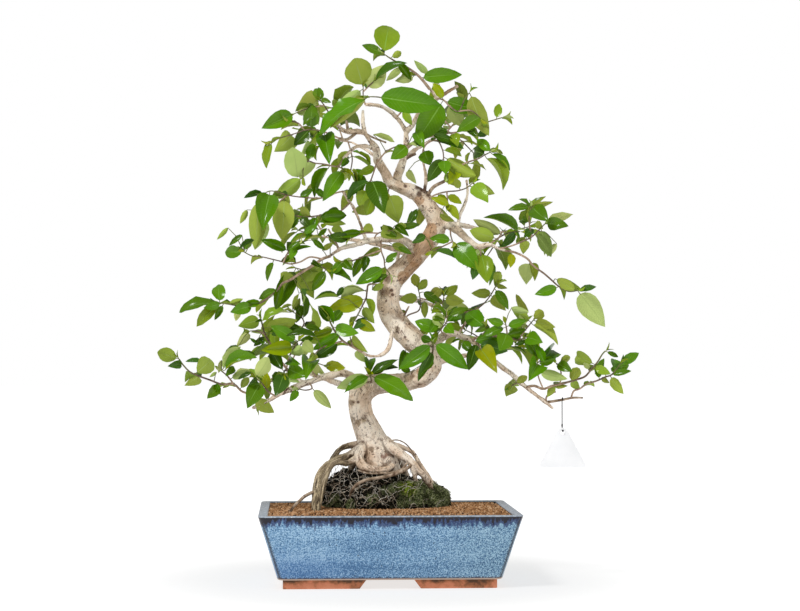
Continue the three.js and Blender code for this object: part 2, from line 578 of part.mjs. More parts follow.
    leaves: [[261, 382, 248, 407, 19, 'g'], [268, 391, 266, 371, 9, 'y'],
      [256, 378, 269, 357, 15, 'p'], [259, 380, 249, 385, 9, 'd']],
  },
  left_under: {
    stems: [[[309, 382, -5], [312, 388, -18], [306, 390, -24], [299, 389, -28]]],
    leaves: [[313, 388, 331, 408, 11, 'p'], [299, 389, 290, 401, 8, 'v']],
  },
  left_yellow: {
    stems: [[[318, 379, -2], [311, 369, -16], [312, 362, -22], [323, 365, -28]]],
    leaves: [[324, 365, 345, 368, 11, 'y'], [313, 364, 318, 378, 10, 'p']],
  },
  trunk_front: {
    stems: [[[371, 386, 14], [371, 379, -10], [370, 375, -20]]],
    leaves: [[369, 375, 337, 388, 13, 'p'], [370, 377, 344, 392, 7, 'v'],
      [372, 375, 413, 400, 15, 'v'], [370, 373, 369, 359, 13, 'v'], [372, 373, 398, 359, 8, 'd'],
      [373, 374, 398, 367, 6, 'v']],
  },
  hanging_leaves: {
    thick: [1.6, 0.9],
    stems: [[[362, 352, -26], [353, 347, -32], [343, 341, -38], [336, 333, -44],
      [332, 326, -48], [330, 322, -50]],
    [[343, 341, -38], [331, 344, -46], [320, 349, -52], [314, 355, -55]],
    [[353, 347, -32], [351, 341, -44], [350, 337, -48]]],
    leaves: [[340, 343, 315, 358, 14, 'b'], [331, 324, 318, 306, 9, 'd'],
      [332, 322, 341, 311, 10, 'v'], [334, 327, 358, 333, 13, 'v'], [336, 334, 313, 350, 10, 'v'],
      [332, 328, 320, 333, 9, 'p'], [334, 331, 312, 337, 8, 'd'], [314, 354, 303, 342, 12, 'p'],
      [351, 338, 367, 352, 13, 'p'], [357, 350, 365, 362, 9, 'p'], [316, 352, 309, 362, 9, 'o']],
  },
  trunk_left: {
    thick: [1.3, 0.9],
    stems: [[[385, 285, 19], [370, 284, -8], [367, 291, -16], [366, 298, -20],
      [362, 306, -24], [358, 314, -27], [354, 321, -29]]],
    leaves: [[365, 297, 328, 309, 15, 'y'], [367, 288, 340, 302, 8, 'p'],
      [363, 307, 374, 323, 10, 'o'], [354, 322, 366, 322, 10, 'b'], [355, 321, 375, 331, 11, 'y']],
  },
  back_left_low: {
    pairs: 2,
    stems: [[[298, 370, 108], [284, 356, 122], [270, 344, 132]],
      [[291, 363, 115], [300, 345, 134], [312, 334, 146]],
      [[296, 368, 110], [280, 378, 126], [264, 384, 136]]],
    leaves: [],
  },
  back_right_low: {
    pairs: 2,
    stems: [[[486, 356, 100], [502, 350, 118], [518, 346, 128]],
      [[494, 353, 109], [480, 338, 130], [466, 330, 142]],
      [[502, 350, 118], [512, 336, 134], [520, 330, 142]]],
    leaves: [],
  },
  back_centre: {
    pairs: 2,
    stems: [[[446, 311, 108], [444, 322, 128], [438, 334, 144]],
      [[445, 318, 120], [456, 312, 138], [470, 316, 150]]],
    leaves: [],
  },
  back_left_mid: {
    pairs: 2,
    stems: [[[334, 238, 116], [316, 236, 130], [298, 230, 140]],
      [[325, 237, 123], [316, 222, 136], [306, 212, 142]]],
    leaves: [],
  },
  back_right_mid: {
    pairs: 2,
    stems: [[[494, 232, 110], [512, 230, 124], [530, 226, 132]],
      [[503, 231, 117], [494, 246, 130], [486, 258, 138]]],
    leaves: [],
  },
  back_top: {
    pairs: 2,
    stems: [[[352, 142, 88], [334, 140, 100], [316, 144, 108]],
      [[343, 141, 94], [338, 124, 106], [336, 108, 112]],
      [[348, 141, 91], [352, 158, 108], [350, 172, 116]]],
    leaves: [],
  },
  back_top_right: {
    pairs: 2,
    stems: [[[446, 132, 84], [456, 120, 96], [464, 106, 104]],
      [[451, 126, 90], [438, 112, 104], [430, 100, 110]],
      [[448, 130, 86], [462, 140, 100], [474, 152, 108]]],
    leaves: [],
  },
};

// The rule for the leaves that the drawing does not show
const ruleLength = [34, 46];
const ruleOpening = 58;
const ruleDroop = 0.28;
const ruleArch = 0.06;
const ruleRatio = 0.44;
const ruleRatioRange = 0.08;
const ruleStalk = 3;
const ruleTwist = 0.4;
const firstPair = 0.5;
const lastPair = 0.99;
const leastSecondLeaf = 0.9;
const ruleLooks = ['g', 'v', 'd', 'g', 'y', 'v'];

const leafColours = {
  v: 0x4b9a1c, g: 0x4f8a2a, d: 0x2f6b22, b: 0x336b4a, y: 0x97a822, o: 0x84a04c, p: 0xa8c07a,
};
const undersides = 'op';

// Solids

function solidOf(points, triangles) {
  const vertProperties = new Float32Array(points.flatMap((p) => [p.x, p.y, p.z]));
  const triVerts = new Uint32Array(triangles.flat());
  return new wasm.Manifold(new wasm.Mesh({ numProp: 3, vertProperties, triVerts }));
}

function solidOfGeometry(geometry) {
  geometry.deleteAttribute('normal');
  geometry.deleteAttribute('uv');
  const merged = mergeVertices(geometry, 1e-4);
  const vertProperties = new Float32Array(merged.attributes.position.array);
  const triVerts = new Uint32Array(merged.index.array);
  return new wasm.Manifold(new wasm.Mesh({ numProp: 3, vertProperties, triVerts }));
}

function geometryOf(solid) {
  const mesh = solid.getMesh();
  const geometry = new THREE.BufferGeometry();
  geometry.setAttribute('position', new THREE.BufferAttribute(mesh.vertProperties.slice(), 3));
  geometry.setIndex(new THREE.BufferAttribute(mesh.triVerts.slice(), 1));
  geometry.computeVertexNormals();
  return geometry;
}

function largestBody(solid) {
  const bodies = solid.decompose();
  bodies.sort((a, b) => b.volume() - a.volume());
  return bodies[0];
}

function box(size, centre) {
  const geometry = new THREE.BoxGeometry(...size);
  geometry.translate(...centre);
  return solidOfGeometry(geometry);
}

// Rings of equal count joined into one closed body, with flat ends.
function loft(rings) {
  const sides = rings[0].length;
  const triangles = [];
  for (let row = 0; row < rings.length - 1; row += 1) {
    for (let side = 0; side < sides; side += 1) {
      const a = row * sides + side;
      const b = row * sides + ((side + 1) % sides);
      triangles.push([a, b, b + sides], [a, b + sides, a + sides]);
    }
  }
  const last = (rings.length - 1) * sides;
  for (let side = 1; side < sides - 1; side += 1) {
    triangles.push([0, side + 1, side], [last, last + side, last + side + 1]);
  }
  return solidOf(rings.flat(), triangles);
}

// A tube along a path, its section carried along without twist. The swell makes an old limb
// uneven: it gives the share to add to the radius at a step and an angle.
function tube(path, radii, sides, swell = () => 0) {
  const rings = [];
  let across = null;
  path.forEach((point, step) => {
    const before = path[Math.max(step - 1, 0)];
    const after = path[Math.min(step + 1, path.length - 1)];
    const along = after.clone().sub(before).normalize();
    if (across === null) {
      across = new THREE.Vector3(0, 1, 0);
      if (Math.abs(along.y) > 0.9) across = new THREE.Vector3(1, 0, 0);
    }
    across = across.clone().addScaledVector(along, -across.dot(along)).normalize();
    const up = along.clone().cross(across);
    const ring = [];
    for (let side = 0; side < sides; side += 1) {
      const angle = (2 * Math.PI * side) / sides;
      const radius = radii[step] * (1 + swell(step, angle));
      const spoke = across.clone().multiplyScalar(Math.cos(angle) * radius);
      spoke.addScaledVector(up, Math.sin(angle) * radius);
      ring.push(point.clone().add(spoke));
    }
    rings.push(ring);
  });
  return loft(rings);
}

function spread(radii, count) {
  if (radii.length === count) return radii;
  const [first, last] = [radii[0], radii[radii.length - 1]];
  return Array.from({ length: count }, (_, step) => first + ((last - first) * step) / (count - 1));
}

// A repeatable stream of numbers from 0 to 1.
function makeRandom(seed) {
  let state = seed;
  return () => {
    state = (Math.imul(state, 1664525) + 1013904223) >>> 0;
    return state / 4294967296;
  };
}

// The wood

function nearestOnPath(point, path, radii) {
  let best = { distance: Infinity };
  for (let step = 0; step < path.length - 1; step += 1) {
    const edge = path[step + 1].clone().sub(path[step]);
    const reach = point.clone().sub(path[step]).dot(edge) / edge.lengthSq();
    const share = Math.min(Math.max(reach, 0), 1);
    const place = path[step].clone().addScaledVector(edge, share);
    const distance = place.distanceTo(point);
    if (distance < best.distance) {
      const radius = radii[step] + (radii[step + 1] - radii[step]) * share;
      best = { distance, place, radius };
    }
  }
  return best;
}

function nearestWood(point, wood) {
  let best = { distance: Infinity };
  for (const limb of wood) {
    const found = nearestOnPath(point, limb.path, limb.radii);
    if (found.distance < best.distance) best = found;
  }
  return best;
}

function lumps(seed, amount) {
  return (step, angle) => amount * (
    Math.sin(angle * 2 + step * 1.3 + seed) + 0.6 * Math.sin(angle * 3 - step * 2.1 + seed * 2));
}

// The steps of a path that bend it, or that change its radius, by more than the given amount.
function bendingSteps(path, radii, amount, first = 0, last = path.length - 1) {
  let farthest = { away: 0 };
  for (let step = first + 1; step < last; step += 1) {
    const chord = nearestOnPath(path[step], [path[first], path[last]], [radii[first], radii[last]]);
    const away = Math.max(chord.distance, Math.abs(chord.radius - radii[step]));
    if (away > farthest.away) farthest = { away, step };
  }
  if (farthest.away <= amount) return [first, last];
  const before = bendingSteps(path, radii, amount, first, farthest.step);
  const after = bendingSteps(path, radii, amount, farthest.step, last);
  return [...before, ...after.slice(1)];
}

function growWood() {
  const wood = [];
  Object.entries({ ...limbs, ...roots }).forEach(([name, limb], order) => {
    const path = limb.points.map(seen);
    const radii = spread(limb.radii, path.length);
    if (order > 0) path[0] = nearestWood(path[0], wood).place;
    const steps = bendingSteps(path, radii, straightness);
    const thin = Math.max(...radii) < 3;
    const sides = limb.sides ?? (thin ? 4 : 5);
    const amount = limb.sides > 8 ? trunkLumps : limbLumps;
    wood.push({
      name,
      path: steps.map((step) => path[step]),
      radii: steps.map((step) => radii[step]),
      sides,
      swell: lumps(order, amount),
    });
  });
  return wood;
}

function woodSolid(wood, extra) {
  const tubes = wood.map(({ path, radii, sides, swell }) => {
    const thicker = radii.map((radius) => radius + extra);
    return tube(path, thicker, sides, swell);
  });
  return wasm.Manifold.union(tubes);
}

// A leaf

// Where the blade lies: its true length and lean follow from how long and wide it is drawn.
function leafPose(root, leaf) {
  const [u, v, tipU, tipV, width, look] = leaf;
  const depth = root.y;
  const base = seen([u, v, depth]);
  const flatTip = seen([tipU, tipV, depth]);
  const drawn = base.distanceTo(flatTip);
  const drawnWidth = width * unit;
  const fullLength = Math.min(Math.max(drawn, drawnWidth / leafRatio), Math.max(longestGuess, drawn));
  const lean = Math.sqrt(Math.max(fullLength ** 2 - drawn ** 2, 0)) * leanShare;
  const under = undersides.includes(look);
  const drooping = tipV > v;
  const sign = (drooping ? -1 : 1) * (under ? -1 : 1);
  const trueWidth = Math.max(drawnWidth, drawn * narrowRatio);
  const roll = Math.acos(Math.min(drawnWidth / trueWidth, 1));
  return { base, tipU, tipV, depth: depth + sign * lean, roll, width: trueWidth, under };
}

// Below this length, what is left of a direction is too short to turn a blade by.
const nearlyAlong = 0.2;

function leafFacing(chord, roll, under) {
  const along = chord.clone().normalize();
  const towards = new THREE.Vector3(0, -1, 0);
  towards.addScaledVector(along, -towards.dot(along));
  if (towards.length() < nearlyAlong) towards.set(0, 0, 1).addScaledVector(along, -along.z);
  towards.normalize();
  const upward = along.clone().cross(towards);
  if (upward.z < 0) upward.negate();
  const face = towards.multiplyScalar(under ? -Math.cos(roll) : Math.cos(roll));
  return face.addScaledVector(upward, Math.sin(roll)).normalize();
}

// The blade has a keel under its midrib, is arched, and is pointed at both ends: it starts as
// a thin stalk inside the stem.
const bladeStations = [
  { share: 0.36, half: 1, thick: 1 },
  { share: 0.72, half: 0.7, thick: 0.8 },
];
const smallBladeStations = [{ share: 0.45, half: 1, thick: 1 }];
const smallBlade = 41;
const outerStart = 0.2;

function archAt(blade, length, share) {
  return blade.arch * length * 4 * share * (1 - share);
}

function bladePoints(blade, stations) {
  const chord = blade.tip.clone().sub(blade.base);
  const side = chord.clone().normalize().cross(blade.face);
  const length = chord.length();
  return stations.map(({ share, half, thick }) => {
    const middle = blade.base.clone().addScaledVector(chord, share);
    middle.addScaledVector(blade.face, archAt(blade, length, share));
    const reach = (blade.width / 2) * half;
    const left = middle.clone().addScaledVector(side, reach);
    const right = middle.clone().addScaledVector(side, -reach);
    const keel = middle.clone().addScaledVector(blade.face, -keelDepth * thick);
    return [left, right, keel];
  });
}

function bladeSolid(root, rings, tip) {
  const points = [root, ...rings.flat(), tip];
  const triangles = [];
  const corner = (row, side) => 1 + row * 3 + (side % 3);
  for (let side = 0; side < 3; side += 1) {
    triangles.push([0, corner(0, side), corner(0, side + 1)]);
    for (let row = 0; row < rings.length - 1; row += 1) {
      const a = corner(row, side);
      const b = corner(row, side + 1);
      const c = corner(row + 1, side + 1);
      const d = corner(row + 1, side);
      triangles.push([a, c, b], [a, d, c]);
    }
    const last = rings.length - 1;
    triangles.push([points.length - 1, corner(last, side + 1), corner(last, side)]);
  }
  return solidOf(points, triangles);
}

// The stalk's ring, just outside the bark of the stem.
function neckRing(root, heading, blade) {
  const side = heading.clone().cross(blade.face).normalize();
  const up = side.clone().cross(heading);
  const middle = root.clone().addScaledVector(heading, neckReach);
  return [
    middle.clone().addScaledVector(side, neckHalf).addScaledVector(up, neckRise),
    middle.clone().addScaledVector(side, -neckHalf).addScaledVector(up, neckRise),
    middle.clone().addScaledVector(up, -neckRise),
  ];
}

// The whole leaf, and the outer part of it that has to stay clear of the rest.
function makeLeaf(root, blade) {
  const length = blade.base.distanceTo(blade.tip);
  const rings = bladePoints(blade, length < smallBlade ? smallBladeStations : bladeStations);
  const widest = rings[0][0].clone().lerp(rings[0][1], 0.5);
  const heading = widest.sub(root).normalize();
  const sunk = root.clone().addScaledVector(heading, -neckSink);
  const neck = neckRing(root, heading, blade);
  const whole = bladeSolid(sunk, [neck, ...rings], blade.tip);
  const start = blade.base.clone().lerp(blade.tip, outerStart);
  start.addScaledVector(blade.face, archAt(blade, length, outerStart));
  return { whole, outer: bladeSolid(start, rings, blade.tip) };
}

const depthTries = [0, -7, 7, -14, 14, -22, 22, -32, 32];
const rollTries = [0, 0.35, -0.35];

// The turns and leans to try, until a blade is clear of what is already there.
function drawnCandidates(root, leaf, random) {
  const pose = leafPose(root, leaf);
  const arch = leastArch + archRange * random();
  const candidates = [];
  for (const turn of rollTries) {
    for (const shift of depthTries) {
      const tip = seen([pose.tipU, pose.tipV, pose.depth + shift]);
      const chord = tip.clone().sub(pose.base);
      const face = leafFacing(chord, pose.roll + turn, pose.under);
      candidates.push({ base: pose.base, tip, face, width: pose.width, arch });
    }
  }
  return candidates;
}

const spinTries = [0, 25, -25, 50, -50, 75, -75, 100];

function ruleCandidates(root, along, angle, length, random) {
  const arch = ruleArch * (1 + random());
  const width = length * (ruleRatio + ruleRatioRange * random());
  const level = new THREE.Vector3(-along.y, along.x, 0);
  if (level.length() < 0.1) level.set(1, 0, 0);
  level.normalize();
  return spinTries.map((spin) => {
    const turn = angle + THREE.MathUtils.degToRad(spin);
    const outward = level.clone().applyAxisAngle(along, turn);
    const opening = THREE.MathUtils.degToRad(ruleOpening);
    const heading = along.clone().multiplyScalar(Math.cos(opening));
    heading.addScaledVector(outward, Math.sin(opening));
    heading.z -= ruleDroop;
    heading.normalize();
    const base = root.clone().addScaledVector(heading, ruleStalk);
    const tip = base.clone().addScaledVector(heading, length);
    const face = new THREE.Vector3(0, 0, 1).addScaledVector(heading, -heading.z);
    if (face.length() < nearlyAlong) {
      face.copy(along).addScaledVector(heading, -along.dot(heading));
    }
    face.normalize();
    return { base, tip, face, width, arch };
  });
}

// Clear space

function boxesMeet(a, b, gap) {
  for (let axis = 0; axis < 3; axis += 1) {
    if (a.min[axis] - gap > b.max[axis] || b.min[axis] - gap > a.max[axis]) return false;
  }
  return true;
}

function isClear(solid, others) {
  const own = solid.boundingBox();
  return others.every((other) => {
    if (!boxesMeet(own, other.bounds, bladeGap)) return true;
    return solid.minGap(other.solid, bladeGap * 2) > bladeGap;
  });
}

function crossings(solid, others) {
  const own = solid.boundingBox();
  let count = 0;
  for (const other of others) {
    if (!boxesMeet(own, other.bounds, 0)) continue;
    if (solid.minGap(other.solid, touching * 2) < touching) count += 1;
  }
  return count;
}

function bounded(solid) {
  return { solid, bounds: solid.boundingBox() };
}

// The sprays

function stemPaths(spray, wood) {
  const paths = spray.stems.map((stem) => {
    const path = stem.map(seen);
    const steps = bendingSteps(path, path.map(() => 1), straightness);
    return steps.map((step) => path[step]);
  });
  const start = nearestWood(paths[0][0], wood);
  paths[0][0] = start.place;
  for (let order = 1; order < paths.length; order += 1) {
    const earlier = paths.slice(0, order);
    const wired = earlier.map((path) => ({ path, radii: path.map(() => 1) }));
    paths[order][0] = nearestWood(paths[order][0], wired).place;
  }
  return { paths, start };
}

function stemSolids(spray, paths) {
  return paths.map((path, order) => {
    const thick = order === 0 && spray.thick;
    const ends = thick ? spray.thick : stemRadius;
    const last = path[path.length - 1];
    const onward = last.clone().sub(path[path.length - 2]).normalize();
    const longer = [...path.slice(0, -1), last.clone().addScaledVector(onward, stemEnd)];
    return tube(longer, spread(ends, path.length), thick ? thickStemSides : stemSides);
  });
}

// A leaf leaves the stem at its nearest point, beyond the bark of the limb.
function leafRoot(point, paths, start) {
  let best = { distance: Infinity };
  const beyond = start.radius + barkRoom;
  for (const path of paths) {
    const found = nearestOnPath(point, path, path.map(() => 1));
    if (found.distance < best.distance) best = found;
  }
  const offset = best.place.clone().sub(start.place);
  if (offset.length() < beyond) {
    const first = paths[0][1].clone().sub(start.place).normalize();
    best.place = start.place.clone().addScaledVector(first, beyond);
  }
  return best.place;
}

// The nearest stem as it is drawn, whatever its depth.
function drawnRoot(leaf, paths, start) {
  let best = { distance: Infinity };
  for (const path of paths) {
    for (const shift of path.map((point) => point.y)) {
      const found = nearestOnPath(seen([leaf[0], leaf[1], shift]), path, path.map(() => 1));
      if (found.distance < best.distance) best = found;
    }
  }
  return leafRoot(best.place, paths, start);
}

function rulePlaces(spray, paths, random) {
  const places = [];
  paths.forEach((path) => {
    const lengths = path.slice(1).map((point, step) => point.distanceTo(path[step]));
    const total = lengths.reduce((sum, length) => sum + length, 0);
    for (let pair = 0; pair < spray.pairs; pair += 1) {
      let reach = total * (firstPair + ((1 - firstPair) * pair) / (spray.pairs - 1));
      reach = Math.min(reach, total * lastPair);
      let step = 0;
      while (reach > lengths[step]) {
        reach -= lengths[step];
        step += 1;
      }
      const along = path[step + 1].clone().sub(path[step]).normalize();
      const root = path[step].clone().addScaledVector(along, reach);
      const turn = (pair % 2) * (Math.PI / 2) + ruleTwist * (random() - 0.5);
      const size = ruleLength[0] + (ruleLength[1] - ruleLength[0]) * random();
      places.push({ root, along, turn, size });
      const second = size * (leastSecondLeaf + (1 - leastSecondLeaf) * random());
      places.push({ root, along, turn: turn + Math.PI, size: second });
    }
  });
  return places;
}

function chooseLeaf(root, candidates, foreign, own) {
  let best = null;
  for (const blade of candidates) {
    const leaf = makeLeaf(root, blade);
    if (!isClear(leaf.whole, foreign)) continue;
    const crossed = crossings(leaf.outer, own);
    if (best === null || crossed < best.crossed) best = { leaf, crossed };
    if (crossed === 0) break;
  }
  return best;
}

function growSprays(wood, treeSleeve) {
  const woodPieces = wood.map(({ path, radii, sides, swell }) => (
    bounded(tube(path, radii, sides, swell))));
  const stems = Object.entries(sprays).map(([name, spray]) => {
    const { paths, start } = stemPaths(spray, wood);
    return { name, spray, paths, start, solids: stemSolids(spray, paths) };
  });
  const blades = stems.map(() => []);
  return stems.map(({ name, spray, paths, start, solids }, order) => {
    const random = makeRandom(order + 11);
    const otherStems = stems.filter((_, index) => index !== order);
    const foreign = otherStems.flatMap((other) => other.solids.map(bounded));
    foreign.push(...woodPieces, ...blades.filter((_, index) => index !== order).flat());
    const own = [];
    const parts = [...solids];
    const jobs = spray.leaves.map((leaf) => {
      const root = drawnRoot(leaf, paths, start);
      return { root, candidates: drawnCandidates(root, leaf, random) };
    });
    if (spray.pairs) {
      rulePlaces(spray, paths, random).forEach(({ root, along, turn, size }) => {
        jobs.push({ root, candidates: ruleCandidates(root, along, turn, size, random) });
      });
    }
    for (const { root, candidates } of jobs) {
      const chosen = chooseLeaf(root, candidates, foreign, own);
      if (chosen !== null) {
        parts.push(chosen.leaf.whole);
        own.push(bounded(chosen.leaf.outer));
        blades[order].push(bounded(chosen.leaf.whole));
      }
    }
    const look = spray.leaves.length > 0 ? spray.leaves[0][5] : ruleLooks[order % ruleLooks.length];
    const solid = largestBody(wasm.Manifold.union(parts).subtract(treeSleeve));
    const tidy = solid.simplify(seamTolerance);
    return { name: `spray_${name}`, solid: tidy, colour: leafColours[look] };
  });
}

// The pot

function roundedOutline(length, depth, radius, height) {
  const points = [];
  const corners = [[1, 1, 0], [-1, 1, 90], [-1, -1, 180], [1, -1, 270]];
  for (const [signX, signY, turn] of corners) {
    for (let step = 0; step <= cornerSteps; step += 1) {
      const angle = THREE.MathUtils.degToRad(turn + (90 * step) / cornerSteps);
      const x = signX * (length / 2 - radius) + radius * Math.cos(angle);
      const y = signY * (depth / 2 - radius) + radius * Math.sin(angle);
      points.push(new THREE.Vector3(x, y, height));
    }
  }
  return points;
}

// The pot's outline at a height, drawn in by the given amount on every side.
function potOutline(height, inset) {
  const share = (height - footHeight) / bodyHeight;
  const taper = footprintInset * (1 - share);
  const length = rimLength - 2 * (taper + inset);
  const depth = rimDepth - 2 * (taper + inset);
  return roundedOutline(length, depth, Math.max(cornerRadius - inset / 2, leastCorner), height);
}

function drainCutter(x) {
  const geometry = new THREE.CylinderGeometry(drainRadius, drainRadius, drainCut, drainSides);
  geometry.rotateX(Math.PI / 2);
  geometry.translate(x, 0, footHeight);
  return solidOfGeometry(geometry);
}

function footBar(run, alongX) {
  const low = new THREE.Shape();
  low.moveTo(0, 0);
  low.lineTo(run - footSlope, 0);
  low.lineTo(run, footHeight + overlap);
  low.lineTo(0, footHeight + overlap);
  low.closePath();
  const geometry = new THREE.ExtrudeGeometry(low, { depth: footWidth, bevelEnabled: false });
  geometry.rotateX(Math.PI / 2);
  geometry.translate(0, footWidth, 0);
  if (!alongX) {
    geometry.rotateZ(Math.PI / 2);
    geometry.translate(footWidth, 0, 0);
  }
  return solidOfGeometry(geometry);
}

function potSolid() {
  const outside = loft([potOutline(footHeight, 0), potOutline(potHeight, 0)]);
  const floorTop = footHeight + floorThickness;
  const inside = loft([potOutline(floorTop, wall), potOutline(potHeight + overlap, wall)]);
  let pot = outside.subtract(inside);
  const foot = footBar(footRun, true).add(footBar(footRunShort, false));
  const cornerX = -(rimLength / 2 - footprintInset - footInset);
  const cornerY = -(rimDepth / 2 - footprintInset - footInset);
  const placed = foot.translate([cornerX, cornerY, 0]);
  for (const mirrorX of [false, true]) {
    for (const mirrorY of [false, true]) {
      let copy = placed;
      if (mirrorX) copy = copy.mirror([1, 0, 0]);
      if (mirrorY) copy = copy.mirror([0, 1, 0]);
      pot = pot.add(copy);
    }
  }
  return pot.subtract(drainCutter(-drainX)).subtract(drainCutter(drainX));
}

function drainageMesh(x) {
  const level = footHeight + floorThickness + clearance + meshThickness / 2;
  let plate = box([meshSize, meshSize, meshThickness], [x, 0, level]);
  const pitch = (meshSize - meshBar) / meshHolesAcross;
  for (let column = 0; column < meshHolesAcross; column += 1) {
    for (let row = 0; row < meshHolesAcross; row += 1) {
      const holeX = x + (column - (meshHolesAcross - 1) / 2) * pitch;
      const holeY = (row - (meshHolesAcross - 1) / 2) * pitch;
      const hole = box([pitch - meshBar, pitch - meshBar, meshCut], [holeX, holeY, level]);
      plate = plate.subtract(hole);
    }
  }
  return plate;
}

// A wire over the mesh, down through it and the hole, and bent outward under the floor.
function meshClip(x) {
  const above = footHeight + floorThickness + meshThickness + 2 * clearance + clipWire;
  const below = footHeight - clearance - clipWire;
  const foot = clipLeg + clipReach;
  const corners = [[-foot, below], [-clipLeg, below], [-clipLeg, above], [clipLeg, above],
    [clipLeg, below], [foot, below]];
  const path = corners.map(([across, height]) => new THREE.Vector3(x + across, clipY, height));
  return tube(path, path.map(() => clipWire), clipSides);
}

function soilSolid(treeSleeve) {
  const floorTop = footHeight + floorThickness;
  const edge = wall + clearance;
  const top = potHeight - soilDrop;
  const rim = potOutline(top, edge);
  const crown = rim.map(({ x, y }) => (
    new THREE.Vector3(x * soilCrown, y * soilCrown, top + soilDome)));
  let soil = loft([potOutline(floorTop + clearance, edge), rim, crown]);
  const pocket = meshThickness + 3 * clearance + 2 * clipWire;
  for (const x of [-drainX, drainX]) {
    const size = [meshSize + overlap, meshSize + overlap, pocket * 2];
    soil = soil.subtract(box(size, [x, 0, floorTop + clearance]));
  }
  return largestBody(soil.subtract(treeSleeve));
}

// The mound: a lump whose outline and top are uneven by a formula.
const moundProfile = [
  { height: 0, reach: 1 }, { height: 0.2, reach: 0.98 }, { height: 0.5, reach: 0.87 },
  { height: 0.7, reach: 0.76 }, { height: 0.8, reach: 0.48 }, { height: 0.95, reach: 0.26 },
  { height: 1, reach: 0.14 },
];
const moundReach = { left: 76, right: 86, front: 54, back: 50 };
const moundHeight = 41;

function moundSolid(treeSleeve) {
  const bottom = potHeight - soilDrop + soilDome + clearance;
  const rings = moundProfile.map(({ height, reach }, row) => {
    const ring = [];
    for (let side = 0; side < moundSides; side += 1) {
      const angle = (2 * Math.PI * side) / moundSides;
      const wobble = 1 + 0.05 * Math.sin(angle * 3 + row) + 0.045 * Math.sin(angle * 5 - row * 2);
      const reachX = Math.cos(angle) > 0 ? moundReach.right : moundReach.left;
      const reachY = Math.sin(angle) > 0 ? moundReach.back : moundReach.front;
      const x = moundCentre[0] + Math.cos(angle) * reachX * reach * wobble;
      const y = moundCentre[1] + Math.sin(angle) * reachY * reach * wobble;
      const bump = row === 0 ? 0 : moundBump * Math.sin(angle * 4 + row * 1.7);
      ring.push(new THREE.Vector3(x, y, bottom + height * moundHeight + bump));
    }
    return ring;
  });
  return largestBody(loft(rings).subtract(treeSleeve));
}

// The tag hangs from the low right twig: the string hooks over the twig, drops behind the tag,
// comes forward through its hole and ends in a knot.
const tagPlace = [563.4, 400, -22];
const tagHolePlace = [564, 431, -22];
const hookSteps = 6;
const hookStart = -0.15 * Math.PI;
const dropShares = [0.25, 0.5, 0.72];
const forwardSteps = 3;

function tagPieces(wood) {
  const twig = nearestWood(seen(tagPlace), wood);
  const bend = twig.radius + clearance + stringSlack + stringRadius;
  const centre = twig.place;
  const holeZ = seen(tagHolePlace).z;
  const path = [];
  for (let step = 0; step <= hookSteps; step += 1) {
    const angle = hookStart + ((Math.PI - hookStart) * step) / hookSteps;
    const y = centre.y - Math.cos(angle) * bend;
    path.push(new THREE.Vector3(centre.x, y, centre.z + Math.sin(angle) * bend));
  }
  const dropY = centre.y + bend;
  const run = centre.z - holeZ;
  for (const share of dropShares) {
    path.push(new THREE.Vector3(centre.x, dropY, centre.z - run * share));
  }
  for (let step = 0; step <= forwardSteps; step += 1) {
    const angle = (Math.PI / 2) * (step / forwardSteps);
    const y = dropY - stringTurn * (1 - Math.cos(angle));
    path.push(new THREE.Vector3(centre.x, y, holeZ + stringTurn - Math.sin(angle) * stringTurn));
  }
  const tagY = dropY - stringTurn - tagBehindTurn;
  path.push(new THREE.Vector3(centre.x, tagY - stringEnd, holeZ));
  const string = tube(path, path.map(() => stringRadius), stringSides);
  const knot = new THREE.IcosahedronGeometry(knotRadius, 0);
  knot.translate(centre.x, tagY - knotReach, holeZ);
  return { string: string.add(solidOfGeometry(knot)), centre, holeZ, tagY };
}

function tagSolid({ centre, holeZ, tagY }) {
  const topZ = holeZ + tagHoleDrop - tagHole + stringRadius + tagSlack;
  const outline = new THREE.Shape();
  const half = tagWidth / 2;
  outline.moveTo(-half, -tagHeight + tagCorner);
  outline.quadraticCurveTo(-half - tagBulge, -tagHeight, -half + tagCorner, -tagHeight);
  outline.lineTo(half - tagCorner, -tagHeight);
  outline.quadraticCurveTo(half + tagBulge, -tagHeight, half, -tagHeight + tagCorner);
  outline.lineTo(tagShoulder, -tagCrown);
  outline.quadraticCurveTo(0, tagCrown, -tagShoulder, -tagCrown);
  outline.closePath();
  const hole = new THREE.Path();
  hole.absarc(0, -tagHoleDrop, tagHole, 0, Math.PI * 2, true);
  outline.holes.push(hole);
  const settings = { depth: tagThickness, bevelEnabled: false, curveSegments: 6 };
  const geometry = new THREE.ExtrudeGeometry(outline, settings);
  geometry.rotateX(Math.PI / 2);
  geometry.translate(centre.x, tagY + tagThickness / 2, topZ);
  return solidOfGeometry(geometry);
}

// The whole object

const materials = {
  glaze: new THREE.MeshStandardMaterial({ color: 0x557da8, roughness: 0.25 }),
  plastic: new THREE.MeshStandardMaterial({ color: 0x202420, roughness: 0.6 }),
  wire: new THREE.MeshStandardMaterial({ color: 0xb8b8b4, roughness: 0.4, metalness: 1 }),
  soil: new THREE.MeshStandardMaterial({ color: 0xa56941, roughness: 0.9 }),
  mound: new THREE.MeshStandardMaterial({ color: 0x34361f, roughness: 0.95 }),
  bark: new THREE.MeshStandardMaterial({ color: 0xcdb9a4, roughness: 0.8 }),
  card: new THREE.MeshStandardMaterial({ color: 0xf2f2ee, roughness: 0.6 }),
  string: new THREE.MeshStandardMaterial({ color: 0x35343a, roughness: 0.8 }),
};

const bonsai = new THREE.Group();

function addPiece(name, solid, material) {
  const mesh = new THREE.Mesh(geometryOf(solid), material);
  mesh.name = name;
  bonsai.add(mesh);
}

